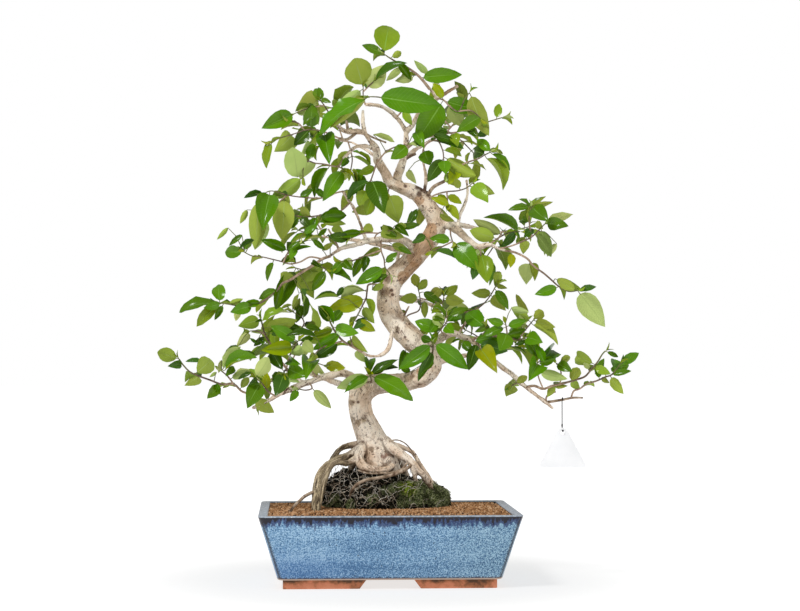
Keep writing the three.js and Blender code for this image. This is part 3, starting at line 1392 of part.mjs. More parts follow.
const wood = growWood();
const tree = largestBody(woodSolid(wood, 0)).simplify(seamTolerance);
const treeSleeve = woodSolid(wood, sleeve);

addPiece('pot', potSolid(), materials.glaze);
for (const [side, x] of [['left', -drainX], ['right', drainX]]) {
  addPiece(`drainage_mesh_${side}`, drainageMesh(x), materials.plastic);
  addPiece(`mesh_clip_${side}`, meshClip(x), materials.wire);
}
addPiece('soil', soilSolid(treeSleeve), materials.soil);
addPiece('root_mound', moundSolid(treeSleeve), materials.mound);
addPiece('tree', tree, materials.bark);
for (const { name, solid, colour } of growSprays(wood, treeSleeve)) {
  addPiece(name, solid, new THREE.MeshStandardMaterial({ color: colour, roughness: 0.35 }));
}
const hanging = tagPieces(wood);
addPiece('tag_string', hanging.string, materials.string);
addPiece('tag', tagSolid(hanging), materials.card);

// The origin is the middle of the underside of everything but the tag.
const bounds = new THREE.Box3();
for (const mesh of bonsai.children) {
  if (!mesh.name.startsWith('tag')) bounds.expandByObject(mesh);
}
const middle = bounds.getCenter(new THREE.Vector3());
bonsai.position.set(-middle.x, -middle.y, -bounds.min.z);
bonsai.updateMatrixWorld(true);

export default bonsai;
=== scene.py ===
# %% [markdown]
# # An old eugenia bonsai
# The real thing is a small tree, about 0.68 m tall, that winds up from a mossy mound in a shallow
# glazed pot. The solids that the physics uses are loaded first and stay as the fixed frame. Over
# them this lesson lays the looks: bark, leaves with veins, moss, granular soil, glaze and a tag.

# %% The fixed frame
import math
import random

import bmesh
import bpy
import numpy as np
from mathutils import Matrix, Vector
from mathutils.geometry import intersect_point_line
from mathutils.kdtree import KDTree


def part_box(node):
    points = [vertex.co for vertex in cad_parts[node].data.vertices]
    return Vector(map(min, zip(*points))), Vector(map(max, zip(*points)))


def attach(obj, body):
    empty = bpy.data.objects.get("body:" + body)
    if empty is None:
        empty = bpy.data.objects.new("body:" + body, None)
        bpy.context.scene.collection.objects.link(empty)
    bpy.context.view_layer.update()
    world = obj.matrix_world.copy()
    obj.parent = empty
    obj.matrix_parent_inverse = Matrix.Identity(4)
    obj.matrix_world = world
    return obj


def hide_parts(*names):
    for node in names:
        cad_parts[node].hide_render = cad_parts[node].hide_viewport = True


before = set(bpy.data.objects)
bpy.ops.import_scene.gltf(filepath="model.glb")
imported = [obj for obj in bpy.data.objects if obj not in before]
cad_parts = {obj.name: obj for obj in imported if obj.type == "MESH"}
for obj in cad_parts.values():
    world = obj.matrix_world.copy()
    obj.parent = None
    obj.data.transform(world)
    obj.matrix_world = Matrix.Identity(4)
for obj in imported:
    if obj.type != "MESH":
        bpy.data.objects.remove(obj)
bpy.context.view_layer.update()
MM = 0.001
print("nodes in the frame:", len(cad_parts))

# %% [markdown]
# ## The drawing
# A tree has no plain dimensions, so its wood is drawn: each point is where the photograph shows
# it, u to the right and v downward, with its depth in millimetres behind the pot's middle. One
# rule turns such a point into a place in the frame, and things further back are drawn smaller.

# %% From the drawing to the frame
EYE = Vector((-110.9, -2382.5, 282.4))
VANISHING_U = 296
VANISHING_V = 348
UNIT = 1.2212

pot_low, pot_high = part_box("pot")
POT_MIDDLE = (pot_low + pot_high) / 2
POT_MIDDLE.z = 0


def seen(point):
    u, v, depth = point
    scale = UNIT * (1 - depth / EYE.y)
    x = EYE.x + (u - VANISHING_U) * scale
    z = EYE.z + (VANISHING_V - v) * scale
    return Vector((x, depth, z)) * MM + POT_MIDDLE


def drawn_place(place):
    """Where a place in the frame is on the drawing."""
    x, depth, z = (place - POT_MIDDLE) / MM
    scale = UNIT * (1 - depth / EYE.y)
    return Vector((VANISHING_U + (x - EYE.x) / scale, VANISHING_V - (z - EYE.z) / scale))


print("the pot stands at", POT_MIDDLE)

# %% [markdown]
# ## Camera and light
# The camera stands where the vanishing point and the pot's edges put the photographer: low, to
# the left, with a long lens. The light is a plain studio: a white surround that fills every
# shadow, a large soft lamp from the upper left and a weaker one from the right.

# %% Camera
LENS = 87.8
LOOK_RIGHT = math.radians(3.05)
LOOK_UP = math.radians(1.25)

camera_data = bpy.data.cameras.new("camera")
camera_data.lens = LENS
camera_data.sensor_width = 36
camera = bpy.data.objects.new("camera", camera_data)
camera.location = EYE * MM + POT_MIDDLE
look = Vector((math.sin(LOOK_RIGHT), math.cos(LOOK_RIGHT), math.tan(LOOK_UP)))
camera.rotation_euler = look.to_track_quat("-Z", "Y").to_euler()
bpy.context.collection.objects.link(camera)
bpy.context.scene.camera = camera
print("the camera stands at", camera.location)

# %% Light and floor
bpy.context.scene.view_settings.view_transform = "Standard"
TREE_MIDDLE = POT_MIDDLE + Vector((0, 0, 0.34))
FLOOR_REACH = 12


def add_object(name, data):
    """An object in the scene, at the origin."""
    made = bpy.data.objects.new(name, data)
    bpy.context.collection.objects.link(made)
    return made


def soft_lamp(name, place, size, power):
    data = bpy.data.lights.new(name, "AREA")
    data.shape = "DISK"
    data.size = size
    data.energy = power
    lamp = add_object(name, data)
    lamp.location = place
    lamp.rotation_euler = (TREE_MIDDLE - place).to_track_quat("-Z", "Y").to_euler()


soft_lamp("key", TREE_MIDDLE + Vector((-1.0, -1.3, 1.7)), 0.6, 31)
soft_lamp("fill", TREE_MIDDLE + Vector((1.5, -1.2, 0.6)), 1.2, 4)

floor_mesh = bpy.data.meshes.new("floor")
corners = [(-FLOOR_REACH, -FLOOR_REACH, 0), (FLOOR_REACH, -FLOOR_REACH, 0),
           (FLOOR_REACH, FLOOR_REACH, 0), (-FLOOR_REACH, FLOOR_REACH, 0)]
floor_mesh.from_pydata(corners, [], [(0, 1, 2, 3)])
floor = add_object("floor", floor_mesh)
print("lamps:", len(bpy.data.lights))

# %% [markdown]
# ## Small helpers for node trees
# Materials and Geometry Nodes are both trees of nodes. One short function adds a node, sets what
# it is told, and takes each input either as a value or as another node's output to link.

# %% Node helpers
def node(tree, kind, inputs=None, **settings):
    made = tree.nodes.new(kind)
    for name, value in settings.items():
        setattr(made, name, value)
    for key, value in (inputs or {}).items():
        if isinstance(value, bpy.types.NodeSocket):
            tree.links.new(value, made.inputs[key])
        else:
            made.inputs[key].default_value = value
    return made


def math_node(tree, operation, a, b=0.0, c=0.0):
    return node(tree, "ShaderNodeMath", {0: a, 1: b, 2: c}, operation=operation).outputs[0]


def times(tree, a, b):
    return math_node(tree, "MULTIPLY", a, b)


def plus(tree, a, b):
    return math_node(tree, "ADD", a, b)


def minus(tree, a, b):
    return math_node(tree, "SUBTRACT", a, b)


def colour(red, green, blue):
    """A colour as seen on a screen, 0 to 255, as the linear colour that shaders use."""
    return tuple(((c / 255 + 0.055) / 1.055) ** 2.4 if c > 10 else c / 3295
                 for c in (red, green, blue)) + (1.0,)


def new_material(name, **principled):
    """A material, with its tree and its Principled shader, and that shader's plain values set."""
    made = bpy.data.materials.new(name)
    made.use_nodes = True
    shader = made.node_tree.nodes["Principled BSDF"]
    for socket, value in principled.items():
        shader.inputs[socket.replace("_", " ")].default_value = value
    return made, made.node_tree, shader


def ramp(tree, factor, *stops):
    """A colour ramp: each stop is a place from 0 to 1 and a colour."""
    made = node(tree, "ShaderNodeValToRGB", {"Fac": factor})
    elements = made.color_ramp.elements
    elements[0].position, elements[0].color = stops[0]
    elements[1].position, elements[1].color = stops[-1]
    for place, tone in stops[1:-1]:
        elements.new(place).color = tone
    return made.outputs["Color"]


def mix(tree, factor, first, second, blend="MIX"):
    made = node(tree, "ShaderNodeMix", data_type="RGBA", blend_type=blend)
    for key, value in ((0, factor), (6, first), (7, second)):
        if isinstance(value, bpy.types.NodeSocket):
            tree.links.new(value, made.inputs[key])
        else:
            made.inputs[key].default_value = value
    return made.outputs[2]


def noise(tree, place, scale, detail=4.0, roughness=0.55, distortion=0.0):
    return node(tree, "ShaderNodeTexNoise", {
        "Vector": place, "Scale": scale, "Detail": detail, "Roughness": roughness,
        "Distortion": distortion}).outputs["Fac"]


def between(tree, value, low, high):
    """0 where the value is at low, 1 where it is at high, and smooth between them."""
    return node(tree, "ShaderNodeMapRange", {
        "Value": value, "From Min": low, "From Max": high}, interpolation_type="SMOOTHSTEP"
    ).outputs["Result"]


def bump(tree, shader, height, distance, strength=1.0):
    made = node(tree, "ShaderNodeBump", {
        "Height": height, "Distance": distance, "Strength": strength})
    tree.links.new(made.outputs["Normal"], shader.inputs["Normal"])


def paint(tree, shader, tone):
    tree.links.new(tone, shader.inputs["Base Color"])


def object_place(tree):
    return node(tree, "ShaderNodeTexCoord").outputs["Object"]


def stored(tree, name, output="Fac"):
    """What the mesh stores under a name, as a material reads it."""
    return node(tree, "ShaderNodeAttribute", attribute_name=name).outputs[output]


def z_part(tree, place):
    return node(tree, "ShaderNodeSeparateXYZ", {0: place}).outputs["Z"]


def near(tree, place, centre, radius):
    """1 at a point of the object, falling to 0 at the radius."""
    away = node(tree, "ShaderNodeVectorMath", {0: place, 1: centre}, operation="DISTANCE")
    return between(tree, away.outputs["Value"], radius, radius * 0.4)


DEEPER = 0.25


def near_drawn(tree, place, drawn, reach):
    """Like near, around a point of the drawing, but reaching four times as deep."""
    flat = node(tree, "ShaderNodeVectorMath", {0: place, 1: (1.0, DEEPER, 1.0)}, operation="MULTIPLY")
    centre = seen(drawn)
    centre.y *= DEEPER
    return near(tree, flat.outputs[0], centre, reach * MM)


def geometry_tree(name, sockets):
    tree = bpy.data.node_groups.new(name, "GeometryNodeTree")
    face = tree.interface
    face.new_socket("Geometry", in_out="INPUT", socket_type="NodeSocketGeometry")
    for label, kind, value in sockets:
        socket = face.new_socket(label, in_out="INPUT", socket_type="NodeSocket" + kind)
        if value is not None:
            socket.default_value = value
    face.new_socket("Geometry", in_out="OUTPUT", socket_type="NodeSocketGeometry")
    return tree, node(tree, "NodeGroupInput").outputs, node(tree, "NodeGroupOutput").inputs[0]


def grow(source, tree, values=None):
    """Puts a Geometry Nodes tree on an object, with its inputs set by their identifiers."""
    modifier = source.modifiers.new(tree.name, "NODES")
    modifier.node_group = tree
    for item in tree.interface.items_tree:
        if item.in_out == "INPUT" and item.name in (values or {}):
            modifier[item.identifier] = values[item.name]
    return modifier


def finished(source, name):
    """The evaluated object as a plain mesh at the origin, in place of its source."""
    bpy.context.view_layer.update()
    evaluated = source.evaluated_get(bpy.context.evaluated_depsgraph_get())
    mesh = bpy.data.meshes.new_from_object(evaluated, preserve_all_data_layers=True,
                                           depsgraph=bpy.context.evaluated_depsgraph_get())
    mesh.name = name
    bpy.data.objects.remove(source)
    piece = add_object(name, mesh)
    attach(piece, "root")
    return piece


def triangle_count(mesh):
    return sum(len(face.vertices) - 2 for face in mesh.polygons)


# %% [markdown]
# ## White surround
# The background is a white sheet, lit on its own: the camera sees it as plain white, while the
# light that it throws on the tree is weaker, so that the leaves keep their shades. The floor
# glows a little for the same reason, and more with distance from the pot, until it is as white
# as the sheet. That leaves only a faint shadow under the pot, and no line at the horizon.

# %% World and floor
SURROUND_LIGHT = 0.42
FLOOR_GLOW = 0.68

world = bpy.data.worlds.new("studio")
world.use_nodes = True
tree = world.node_tree
seen_by_camera = node(tree, "ShaderNodeLightPath").outputs["Is Camera Ray"]
strength = node(tree, "ShaderNodeMapRange", {"Value": seen_by_camera, "To Min": SURROUND_LIGHT})
surround = tree.nodes["Background"]
surround.inputs["Color"].default_value = (1, 1, 1, 1)
tree.links.new(strength.outputs["Result"], surround.inputs["Strength"])
bpy.context.scene.world = world

floor_material, tree, shader = new_material("pale floor", Roughness=0.9)
shader.inputs["Base Color"].default_value = (0.3, 0.3, 0.3, 1)
shader.inputs["Emission Color"].default_value = (1, 1, 1, 1)
close_by = near(tree, object_place(tree), POT_MIDDLE, 0.48)
glow = node(tree, "ShaderNodeMapRange", {"Value": close_by, "To Min": 1.0, "To Max": FLOOR_GLOW})
tree.links.new(glow.outputs["Result"], shader.inputs["Emission Strength"])
floor_mesh.materials.append(floor_material)

# %% [markdown]
# ## The drawn wood
# Every limb, twig and root is listed with its points and its radii in millimetres. Two radii
# stand for an even taper from one end to the other.

# %% Limbs and twigs
DRAWN_LIMBS = {}


def limb(name, radii, *points):
    """One limb, twig or root as it is drawn."""
    DRAWN_LIMBS[name] = (points, radii)


limb("trunk", [26, 24, 20.5, 17, 15, 14.4, 15.5, 13.5, 11.5, 11.5, 12, 12, 13, 14.5, 14.6, 14.2, 14, 14,
     13, 12.4, 12, 12, 11, 10], (380, 474, 30), (378, 462, 30), (374, 447, 30), (368, 431, 29),
     (362, 416, 27), (359.5, 402, 24), (363, 390, 20), (375, 384, 16), (392, 383, 10), (410, 381, 4),
     (424, 376, 0), (432, 366, -2), (427, 353, 0), (413, 340, 5), (400, 327, 10), (390, 311, 16),
     (388, 296, 20), (392, 281, 22), (404, 268, 22), (417, 254, 20), (430, 239, 15), (437, 224, 12),
     (430, 208, 10), (420, 195, 10))
limb("leader", [9, 8.5, 7.5, 6.8, 6.2, 5.6, 4.4, 3.4, 3, 2.6, 2], (420, 195, 10), (410, 190, 8),
     (400, 187, 6), (390, 182, 4), (385, 172, 2), (378, 160, 0), (376, 148, -2), (370, 140, -4),
     (365, 132, -5), (363, 120, -6), (363, 109, -7))
limb("secondLeader", [6.4, 6, 5.2, 4.6, 4.2, 3.6], (402, 188, 6), (397, 180, 10), (399, 171, 13),
     (403, 160, 14), (406, 146, 13), (406, 132, 12))
limb("rightArm", [3.5, 3.2, 3, 2.8, 2.4, 1.7], (406, 132, 12), (414, 122, 9), (419, 111, 6),
     (428, 102, 3), (437, 97, 0), (430, 88, -4))
limb("cutStub", [2.6, 2.2], (437, 97, 0), (446, 92, 2), (458, 84, 4))
limb("leftArm", [3.2, 2], (406, 132, 12), (401, 122, 9), (393, 113, 4), (384, 107, -4), (373, 104, -14),
     (365, 104, -18))
limb("gnarl", [3.2, 2.2], (365, 132, -5), (355, 131, -8), (345, 131, -12), (337, 125, -16))
limb("gnarlStub", [2.2, 1.5], (348, 131, -11), (346, 120, -12))
limb("leftReach", [2, 1.6], (357, 133, -7), (347, 139, -17), (339, 138, -22))
limb("leftFork", [2.8, 1.9], (376, 150, -2), (368, 146, -8), (357, 146, -12), (350, 151, -11),
     (343, 159, -10))
limb("crossTwig", [1.6, 1.1], (363, 134, -5), (373, 137, -3), (386, 142, 0))
limb("uprightTwig", [2.6, 1.7], (424, 197, 8), (426, 182, -1), (425, 170, -4), (422, 158, -6))
limb("slantTwig", [2.4, 1.5], (427, 199, 9), (433, 187, -6), (445, 180, -12), (450, 174, -15),
     (455, 169, -17))
limb("stubTwig", [2.2, 1.8], (403, 160, 14), (411, 155, 11), (416, 153, 10))
limb("rightTwig", [2.2, 1.5], (406, 148, 13), (415, 141, 2), (424, 137, -3), (436, 134, -6),
     (448, 132, -9))
limb("midLeft", [6.5, 4.8, 4, 3.7, 3.5, 3.2, 2.9, 2.6, 2.2], (417, 250, 20), (406, 241, 13),
     (398, 239, 7), (385, 239, 0), (370, 240, -6), (357, 244, -12), (345, 247, -16), (337, 251, -18),
     (330, 256, -20))
limb("midLeftUp", [2.6, 1.7], (366, 241, -8), (362, 229, -10), (358, 218, -12), (353, 207, -14),
     (347, 198, -15), (343, 191, -16))
limb("midLeftStub", [1.6, 1], (339, 250, -18), (334, 239, -14), (328, 229, -12))
limb("backLoop", [3, 2], (391, 286, 24), (395, 272, 34), (398, 259, 34), (397, 247, 32))
limb("midRight", [7, 5.8, 4.8, 4.2, 3.6, 2.4, 2.1, 1.8], (437, 222, 12), (448, 224, 5), (458, 230, -2),
     (468, 239, -7), (478, 246, -12), (490, 244, -17), (499, 248, -20), (506, 250, -21))
limb("tallTwig", [2.6, 1.4], (458, 230, -2), (460, 215, 8), (466, 201, 12), (468, 190, 14),
     (467, 179, 14))
limb("deadTwigs", [1.8, 1], (403, 326, 10), (404, 316, -6), (409, 306, -8))
limb("hanging", [2.6, 1.7], (395, 325, 8), (392, 334, -12), (389, 347, -18), (381, 355, -22),
     (370, 356, -24), (362, 352, -26))
limb("lowerLeft", [8, 5.4, 4.6, 4.4, 4.2, 4, 4, 3.6, 3.2, 2.8, 2.6, 2], (361, 391, 22), (350, 376, 12),
     (339, 373, 7), (331, 375, 3), (322, 377, -1), (312, 381, -4), (303, 384, -6), (294, 388, -9),
     (284, 392, -11), (276, 396, -12), (266, 402, -15), (252, 408, -18))
limb("lowerLeftFork", [3, 2.2], (303, 384, -6), (296, 377, -7), (288, 371, -8))
limb("lowerRight", [7, 5.2, 4.2, 3.8, 3.6, 3.4, 3.2, 3.1, 3, 3, 2.6, 2.4, 1.7], (425, 352, 0),
     (440, 339, -12), (452, 333, -18), (462, 336, -20), (471, 340, -22), (482, 350, -24), (490, 357, -25),
     (501, 366, -25), (512, 374, -25), (524, 385, -25), (535, 394, -24), (546, 402, -22), (554, 409, -20))
limb("bareTwig", [1.9, 1.3], (458, 335, -19), (463, 327, -14), (468, 319, -10))
limb("tagTwig", [1.9, 1.1], (547, 402, -22), (563, 400, -22), (574, 398, -22), (584, 398, -21))
limb("lowStub", [1.3, 0.9], (547, 402, -22), (548, 396, -30), (557, 392, -33))
limb("backLeftLow", [6, 4.4, 3, 2], (363, 392, 24), (347, 386, 52), (322, 378, 84), (298, 370, 108))
limb("backRightLow", [5.5, 4, 2.8, 2], (429, 370, 2), (440, 362, 34), (462, 356, 72), (486, 356, 100))
limb("backCentre", [5.5, 4, 2.8, 2], (390, 300, 22), (400, 298, 55), (424, 302, 86), (448, 312, 108))
limb("backLeftMid", [5, 3.8, 2.7, 1.9], (414, 257, 21), (398, 250, 60), (368, 242, 92), (334, 238, 116))
limb("backRightMid", [5, 3.8, 2.7, 1.9], (437, 226, 14), (448, 224, 50), (470, 226, 86), (494, 232, 110))
limb("backTop", [4, 3, 2.2, 1.6], (386, 172, 3), (382, 164, 34), (370, 152, 64), (352, 142, 88))
limb("backTopRight", [3.4, 2.8, 2.1, 1.6], (404, 158, 14), (414, 150, 40), (430, 140, 64), (446, 132, 84))
print("limbs drawn:", len(DRAWN_LIMBS))

# %% Roots
limb("frontLoop", [7.4, 6.6, 5.8, 5.4, 5.2, 4.6, 4], (366, 440, 23), (361, 450, 15), (359, 459, 5),
     (364, 467, -2), (375, 470, -4), (385, 470, 0), (393, 465, 12))
limb("leftUpper", [7, 5.2, 4.8, 4.6, 4.5, 4.9, 5, 4.4, 3.5], (362, 452, 26), (349, 455, 18),
     (340, 458, 8), (330, 463, -2), (322, 470, -8), (318, 480, -14), (316, 492, -20), (315, 506, -24),
     (315, 516, -25))
limb("leftLower", [5, 3.9, 3.8, 3.8, 4, 3.8, 3.2, 2.8], (360, 460, 12), (347, 463, 2), (338, 461.5, -6),
     (330.5, 466, -12), (325, 477, -16), (322, 490, -22), (319.5, 505, -28), (318, 516, -30))
limb("leftBack", [5, 4, 3.6, 3.6, 3.4, 3.2, 3], (362, 446, 40), (350, 445, 44), (340, 449, 46),
     (333, 458, 50), (327, 474, 56), (323, 492, 60), (322, 510, 62))
limb("leftRunner", [2.2, 1.7], (316, 490, -20), (306, 495, -26), (300, 500, -30), (293, 507, -34),
     (288, 516, -36))
limb("rightMain", [11, 9, 6.9, 5.8, 5.2, 4.4, 4, 3.4, 3], (376, 434, 28), (385, 443, 22),
     (394, 449.5, 15), (402, 455, 10), (411, 462, 6), (419, 471, 4), (426, 479, 5), (431, 488, 12),
     (433, 496, 20))
limb("rightBehind", [5.5, 3.6, 3, 2.8, 2.8, 2.6], (388, 447, 34), (404, 448, 30), (413, 453, 28),
     (420, 464, 26), (427, 474, 26), (434, 488, 26))
limb("rightBrace", [2.8, 2.1], (409, 461, 8), (413, 471, 2), (416, 480, 4), (418, 488, 14))
limb("crossRoot", [2.4, 1.6], (412, 465, 8), (403, 470.5, -5), (391, 475, -11), (379, 477.5, -14),
     (367, 479.5, -17), (357, 484, -20), (352.5, 489, -20), (350, 495, -6))
limb("wiryRoot", [0.9, 0.7], (386, 446, 16), (390, 441, 12), (398, 440, 14), (406, 444, 18),
     (412, 451, 22), (416, 457, 25))
limb("highCross", [1.5, 1], (408, 462, 10), (403, 468, 0), (392, 472.5, -8), (380, 473, -12),
     (368, 473, -10), (358, 470, 0))
limb("backLeft", [7, 5, 4.4, 4, 3.4], (368, 450, 44), (358, 456, 62), (350, 470, 76), (346, 490, 84),
     (345, 508, 88))
limb("backRight", [7, 5, 4.4, 4, 3.4], (384, 450, 44), (396, 456, 60), (404, 470, 72), (408, 488, 80),
     (410, 506, 84))

# %% [markdown]
# ## Smooth paths
# The drawn points lie 10 to 20 mm apart. A Catmull-Rom curve passes through all of them and bends
# smoothly between. Each limb but the trunk starts at the nearest wood that is already there, so
# every fork is joined, and a radius goes along with each point.

# %% Smooth paths
def between_points(before, start, end, after, share):
    """Catmull-Rom: a place between start and end. It works on numbers and vectors alike."""
    a = start * 2
    b = (end - before) * share
    c = (before * 2 - start * 5 + end * 4 - after) * share ** 2
    d = (start * 3 - before - end * 3 + after) * share ** 3
    return (a + b + c + d) / 2


def smooth_path(points, radii, step=2.5 * MM):
    """The path and its radii, sampled about every step."""
    path, widths = [], []
    for order in range(len(points) - 1):
        end = order + 1
        picks = [max(order - 1, 0), order, end, min(end + 1, len(points) - 1)]
        count = max(round((points[end] - points[order]).length / step), 1)
        for turn in range(count):
            path.append(between_points(*(points[pick] for pick in picks), turn / count))
            widths.append(between_points(*(radii[pick] for pick in picks), turn / count))
    return path + [points[-1]], widths + [radii[-1]]


def spread(radii, count):
    """One radius for each point, in metres, where only the first and last are given."""
    if len(radii) == count:
        return [radius * MM for radius in radii]
    return [(radii[0] + (radii[-1] - radii[0]) * order / (count - 1)) * MM
            for order in range(count)]


def nearest_place(point, paths):
    """The place on the nearest of the paths, its radius there and the direction along it."""
    best = None
    for path, radii in paths:
        for order in range(len(path) - 1):
            place, share = intersect_point_line(point, path[order], path[order + 1])
            share = min(max(share, 0), 1)
            place = path[order].lerp(path[order + 1], share)
            away = (place - point).length
            if best is None or away < best[0]:
                radius = radii[order] + (radii[order + 1] - radii[order]) * share
                best = (away, place, radius, (path[order + 1] - path[order]).normalized())
    return best[1:]


wood = {}
for name, (drawn, radii) in DRAWN_LIMBS.items():
    points = [seen(point) for point in drawn]
    if wood:
        points[0] = nearest_place(points[0], wood.values())[0]
    wood[name] = smooth_path(points, spread(radii, len(points)))
print("limbs and roots:", len(wood))

# %% [markdown]
# ## Tubes along paths
# Wood, stems, rootlets and leaf stalks are all tubes along a path. Python lays each path as a
# chain of edges that knows its radius, and one Geometry Nodes tree sweeps a circle along every
# chain at once.

# %% Tubes by Geometry Nodes
def chain_lists(paths):
    """The points, edges and radii of several paths."""
    places, edges, radii = [], [], []
    for path, widths in paths:
        first = len(places)
        places += path
        radii += widths
        edges += [(first + order, first + order + 1) for order in range(len(path) - 1)]
    return places, edges, radii


def store(mesh, name, kind, field, values, domain="POINT"):
    mesh.attributes.new(name, kind, domain).data.foreach_set(field, values)


def chain_object(name, paths):
    """A mesh of edge chains, with the radius of each point as an attribute."""
    places, edges, radii = chain_lists(paths)
    mesh = bpy.data.meshes.new(name)
    mesh.from_pydata(places, edges, [])
    store(mesh, "radius_here", "FLOAT", "value", radii)
    return add_object(name, mesh)


def sweep(tree, chains, sides):
    """Nodes that turn edge chains into closed tubes."""
    curve = node(tree, "GeometryNodeMeshToCurve", {"Mesh": chains}).outputs["Curve"]
    profile = node(tree, "GeometryNodeCurvePrimitiveCircle", {"Resolution": sides, "Radius": 1.0})
    radius = node(tree, "GeometryNodeInputNamedAttribute", {"Name": "radius_here"})
    return node(tree, "GeometryNodeCurveToMesh", {
        "Curve": curve, "Profile Curve": profile.outputs["Curve"],
        "Scale": radius.outputs["Attribute"], "Fill Caps": True}).outputs["Mesh"]


def surfaced(tree, geometry, surface):
    """Nodes that make instances real and give them their material, as each tree here ends."""
    real = node(tree, "GeometryNodeRealizeInstances", {"Geometry": geometry}).outputs[0]
    return node(tree, "GeometryNodeSetMaterial", {"Geometry": real, "Material": surface}).outputs[0]


tube_tree, given, result = geometry_tree("Tubes along paths", [
    ("Sides", "Int", 8), ("Surface", "Material", None)])
tubes = sweep(tube_tree, given["Geometry"], given["Sides"])
tube_tree.links.new(surfaced(tube_tree, tubes, given["Surface"]), result)

# %% [markdown]
# ## Bark
# Old eugenia bark is pale and smooth, flushed with tan where a scale has just come away, pitted
# with dark specks, and streaked along the wood. Colour is layered from noise on the object's own
# coordinates, and the streaks read a "grain place" that is stored on the mesh further down: a
# place measured along and across the limb, so that they follow every bend. Shade is painted in as
# well: the undersides and the hollows at forks and creases are darkened.

# %% Bark materials
BARK_PALE = colour(232, 206, 180)
BARK_LIGHT = colour(255, 241, 223)
BARK_GREY = colour(182, 156, 130)
BARK_DARK = colour(76, 42, 24)
BARK_BROWN = colour(132, 100, 76)
# The deep brown of painted shade, for the bark's undersides and hollows.
BARK_PAINTED_SHADE = colour(84, 60, 36)
BARK_RUST = colour(128, 72, 46)
RUSTY = [((386, 454.5, -4), 8), ((380, 457, -8), 6), ((391, 454, 0), 6), ((350, 462, 10), 5)]
BARK_TAN = colour(166, 128, 90)
BARK_OLIVE = colour(150, 128, 92)
BARK_SHADE = colour(96, 72, 46)
BARK_ORANGE = colour(196, 148, 108)
TAN_PATCHES = [((429, 232, 6), 13), ((423, 245, 6), 15), ((414, 259, 8), 13), ((404, 276, 8), 10),
               ((412, 270, 8), 11), ((447, 91, 2), 9), ((419, 200, 8), 8), ((399, 388, 0), 9),
               ((421, 372, 0), 8), ((446, 362, 0), 7)]
OLIVE_PATCHES = [((384, 292, 10), 10), ((386, 280, 10), 8), ((352, 418, 14), 7), ((358, 423, 12), 6),
                 ((364, 419, 6), 6), ((351, 403, 14), 6), ((408, 378, 0), 8), ((371, 450, 0), 7),
                 ((398, 328, 0), 6), ((440, 372, 0), 6), ((362, 442, 0), 6)]
SCARS = [((423, 188, 5), 7), ((419, 194, 5), 5), ((428, 192, 5), 5), ((417, 187, 5), 4),
         ((391.6, 290, 5), 3.2), ((392.4, 294.5, 5), 3), ((358, 402, 10), 2.6), ((366, 418, 6), 3),
         ((420, 236, 6), 3), ((405, 337, -4), 2.4), ((364, 377, 4), 2.6), ((383, 398, 2), 2),
         ((377, 427, 5), 2.4), ((388, 439, 5), 2.6), ((361, 432, 5), 1.6), ((364, 431.6, 5), 1.6),
         ((367, 431.2, 5), 1.6), ((386, 301, 5), 1.8), ((409, 324, 0), 2), ((358, 386, 8), 2.2),
         ((371, 382, 5), 2), ((395, 384, 0), 2.2), ((406, 345, 0), 2.4), ((401, 338, 0), 2),
         ((405, 186, 5), 3.6),
         ((401, 189, 5), 2.4), ((399, 178, 12), 2),
         ((370, 457, -8), 2.6), ((378, 452, -8), 2.4), ((383, 449, -8), 2)]


def spots(tree, place, scale, most, least):
    return between(tree, noise(tree, place, scale, 3, 0.5, 0.6), most, least)


bark, tree, shader = new_material("bark", Roughness=0.7, Specular_IOR_Level=0.15)
place = object_place(tree)
grain = stored(tree, "grain_place", "Vector")
hollow = stored(tree, "hollow")
clouds = noise(tree, place, 34, 7, 0.66)
fibres = noise(tree, grain, 420, 5, 0.62)
tone = ramp(tree, clouds, (0.32, BARK_GREY), (0.43, BARK_PALE), (0.58, BARK_LIGHT))
tone = mix(tree, times(tree, between(tree, fibres, 0.46, 0.34), 0.55), tone, BARK_BROWN)
stain = between(tree, noise(tree, place, 40, 8, 0.78, 0.8), 0.53, 0.6)
tone = mix(tree, times(tree, stain, 0.5), tone, BARK_BROWN)
ragged = times(tree, minus(tree, clouds, 0.5), 0.025)
moved = node(tree, "ShaderNodeVectorMath", {0: place, 1: ragged}, operation="ADD").outputs[0]
scraped = mix(tree, between(tree, fibres, 0.4, 0.6), BARK_TAN, BARK_ORANGE)
mottled = mix(tree, spots(tree, place, 150, 0.56, 0.46), BARK_OLIVE, BARK_SHADE)
for patches, strength, patch_tone, edge in (
        (OLIVE_PATCHES, 0.7, mottled, 1.0), (TAN_PATCHES, 0.75, scraped, 0.5), (RUSTY, 0.7, BARK_RUST, 1.0)):
    for drawn, reach in patches:
        patch = between(tree, near_drawn(tree, moved, drawn, reach), 0.15, edge)
        tone = mix(tree, times(tree, patch, strength), tone, patch_tone)
for drawn, reach in SCARS:
    tone = mix(tree, times(tree, near_drawn(tree, place, drawn, reach), 0.85), tone, BARK_DARK)
for scale, most, least, strength in ((230, 0.37, 0.32, 0.8), (120, 0.34, 0.3, 0.85), (420, 0.36, 0.3, 0.6)):
    tone = mix(tree, times(tree, spots(tree, place, scale, most, least), strength), tone, BARK_DARK)
lines = math_node(tree, "ABSOLUTE", minus(tree, noise(tree, grain, 110, 4, 0.6), 0.5))
cracks = times(tree, between(tree, lines, 0.016, 0.005), between(
    tree, noise(tree, place, 70, 3), 0.5, 0.57))
tone = mix(tree, times(tree, cracks, 0.85), tone, BARK_DARK)
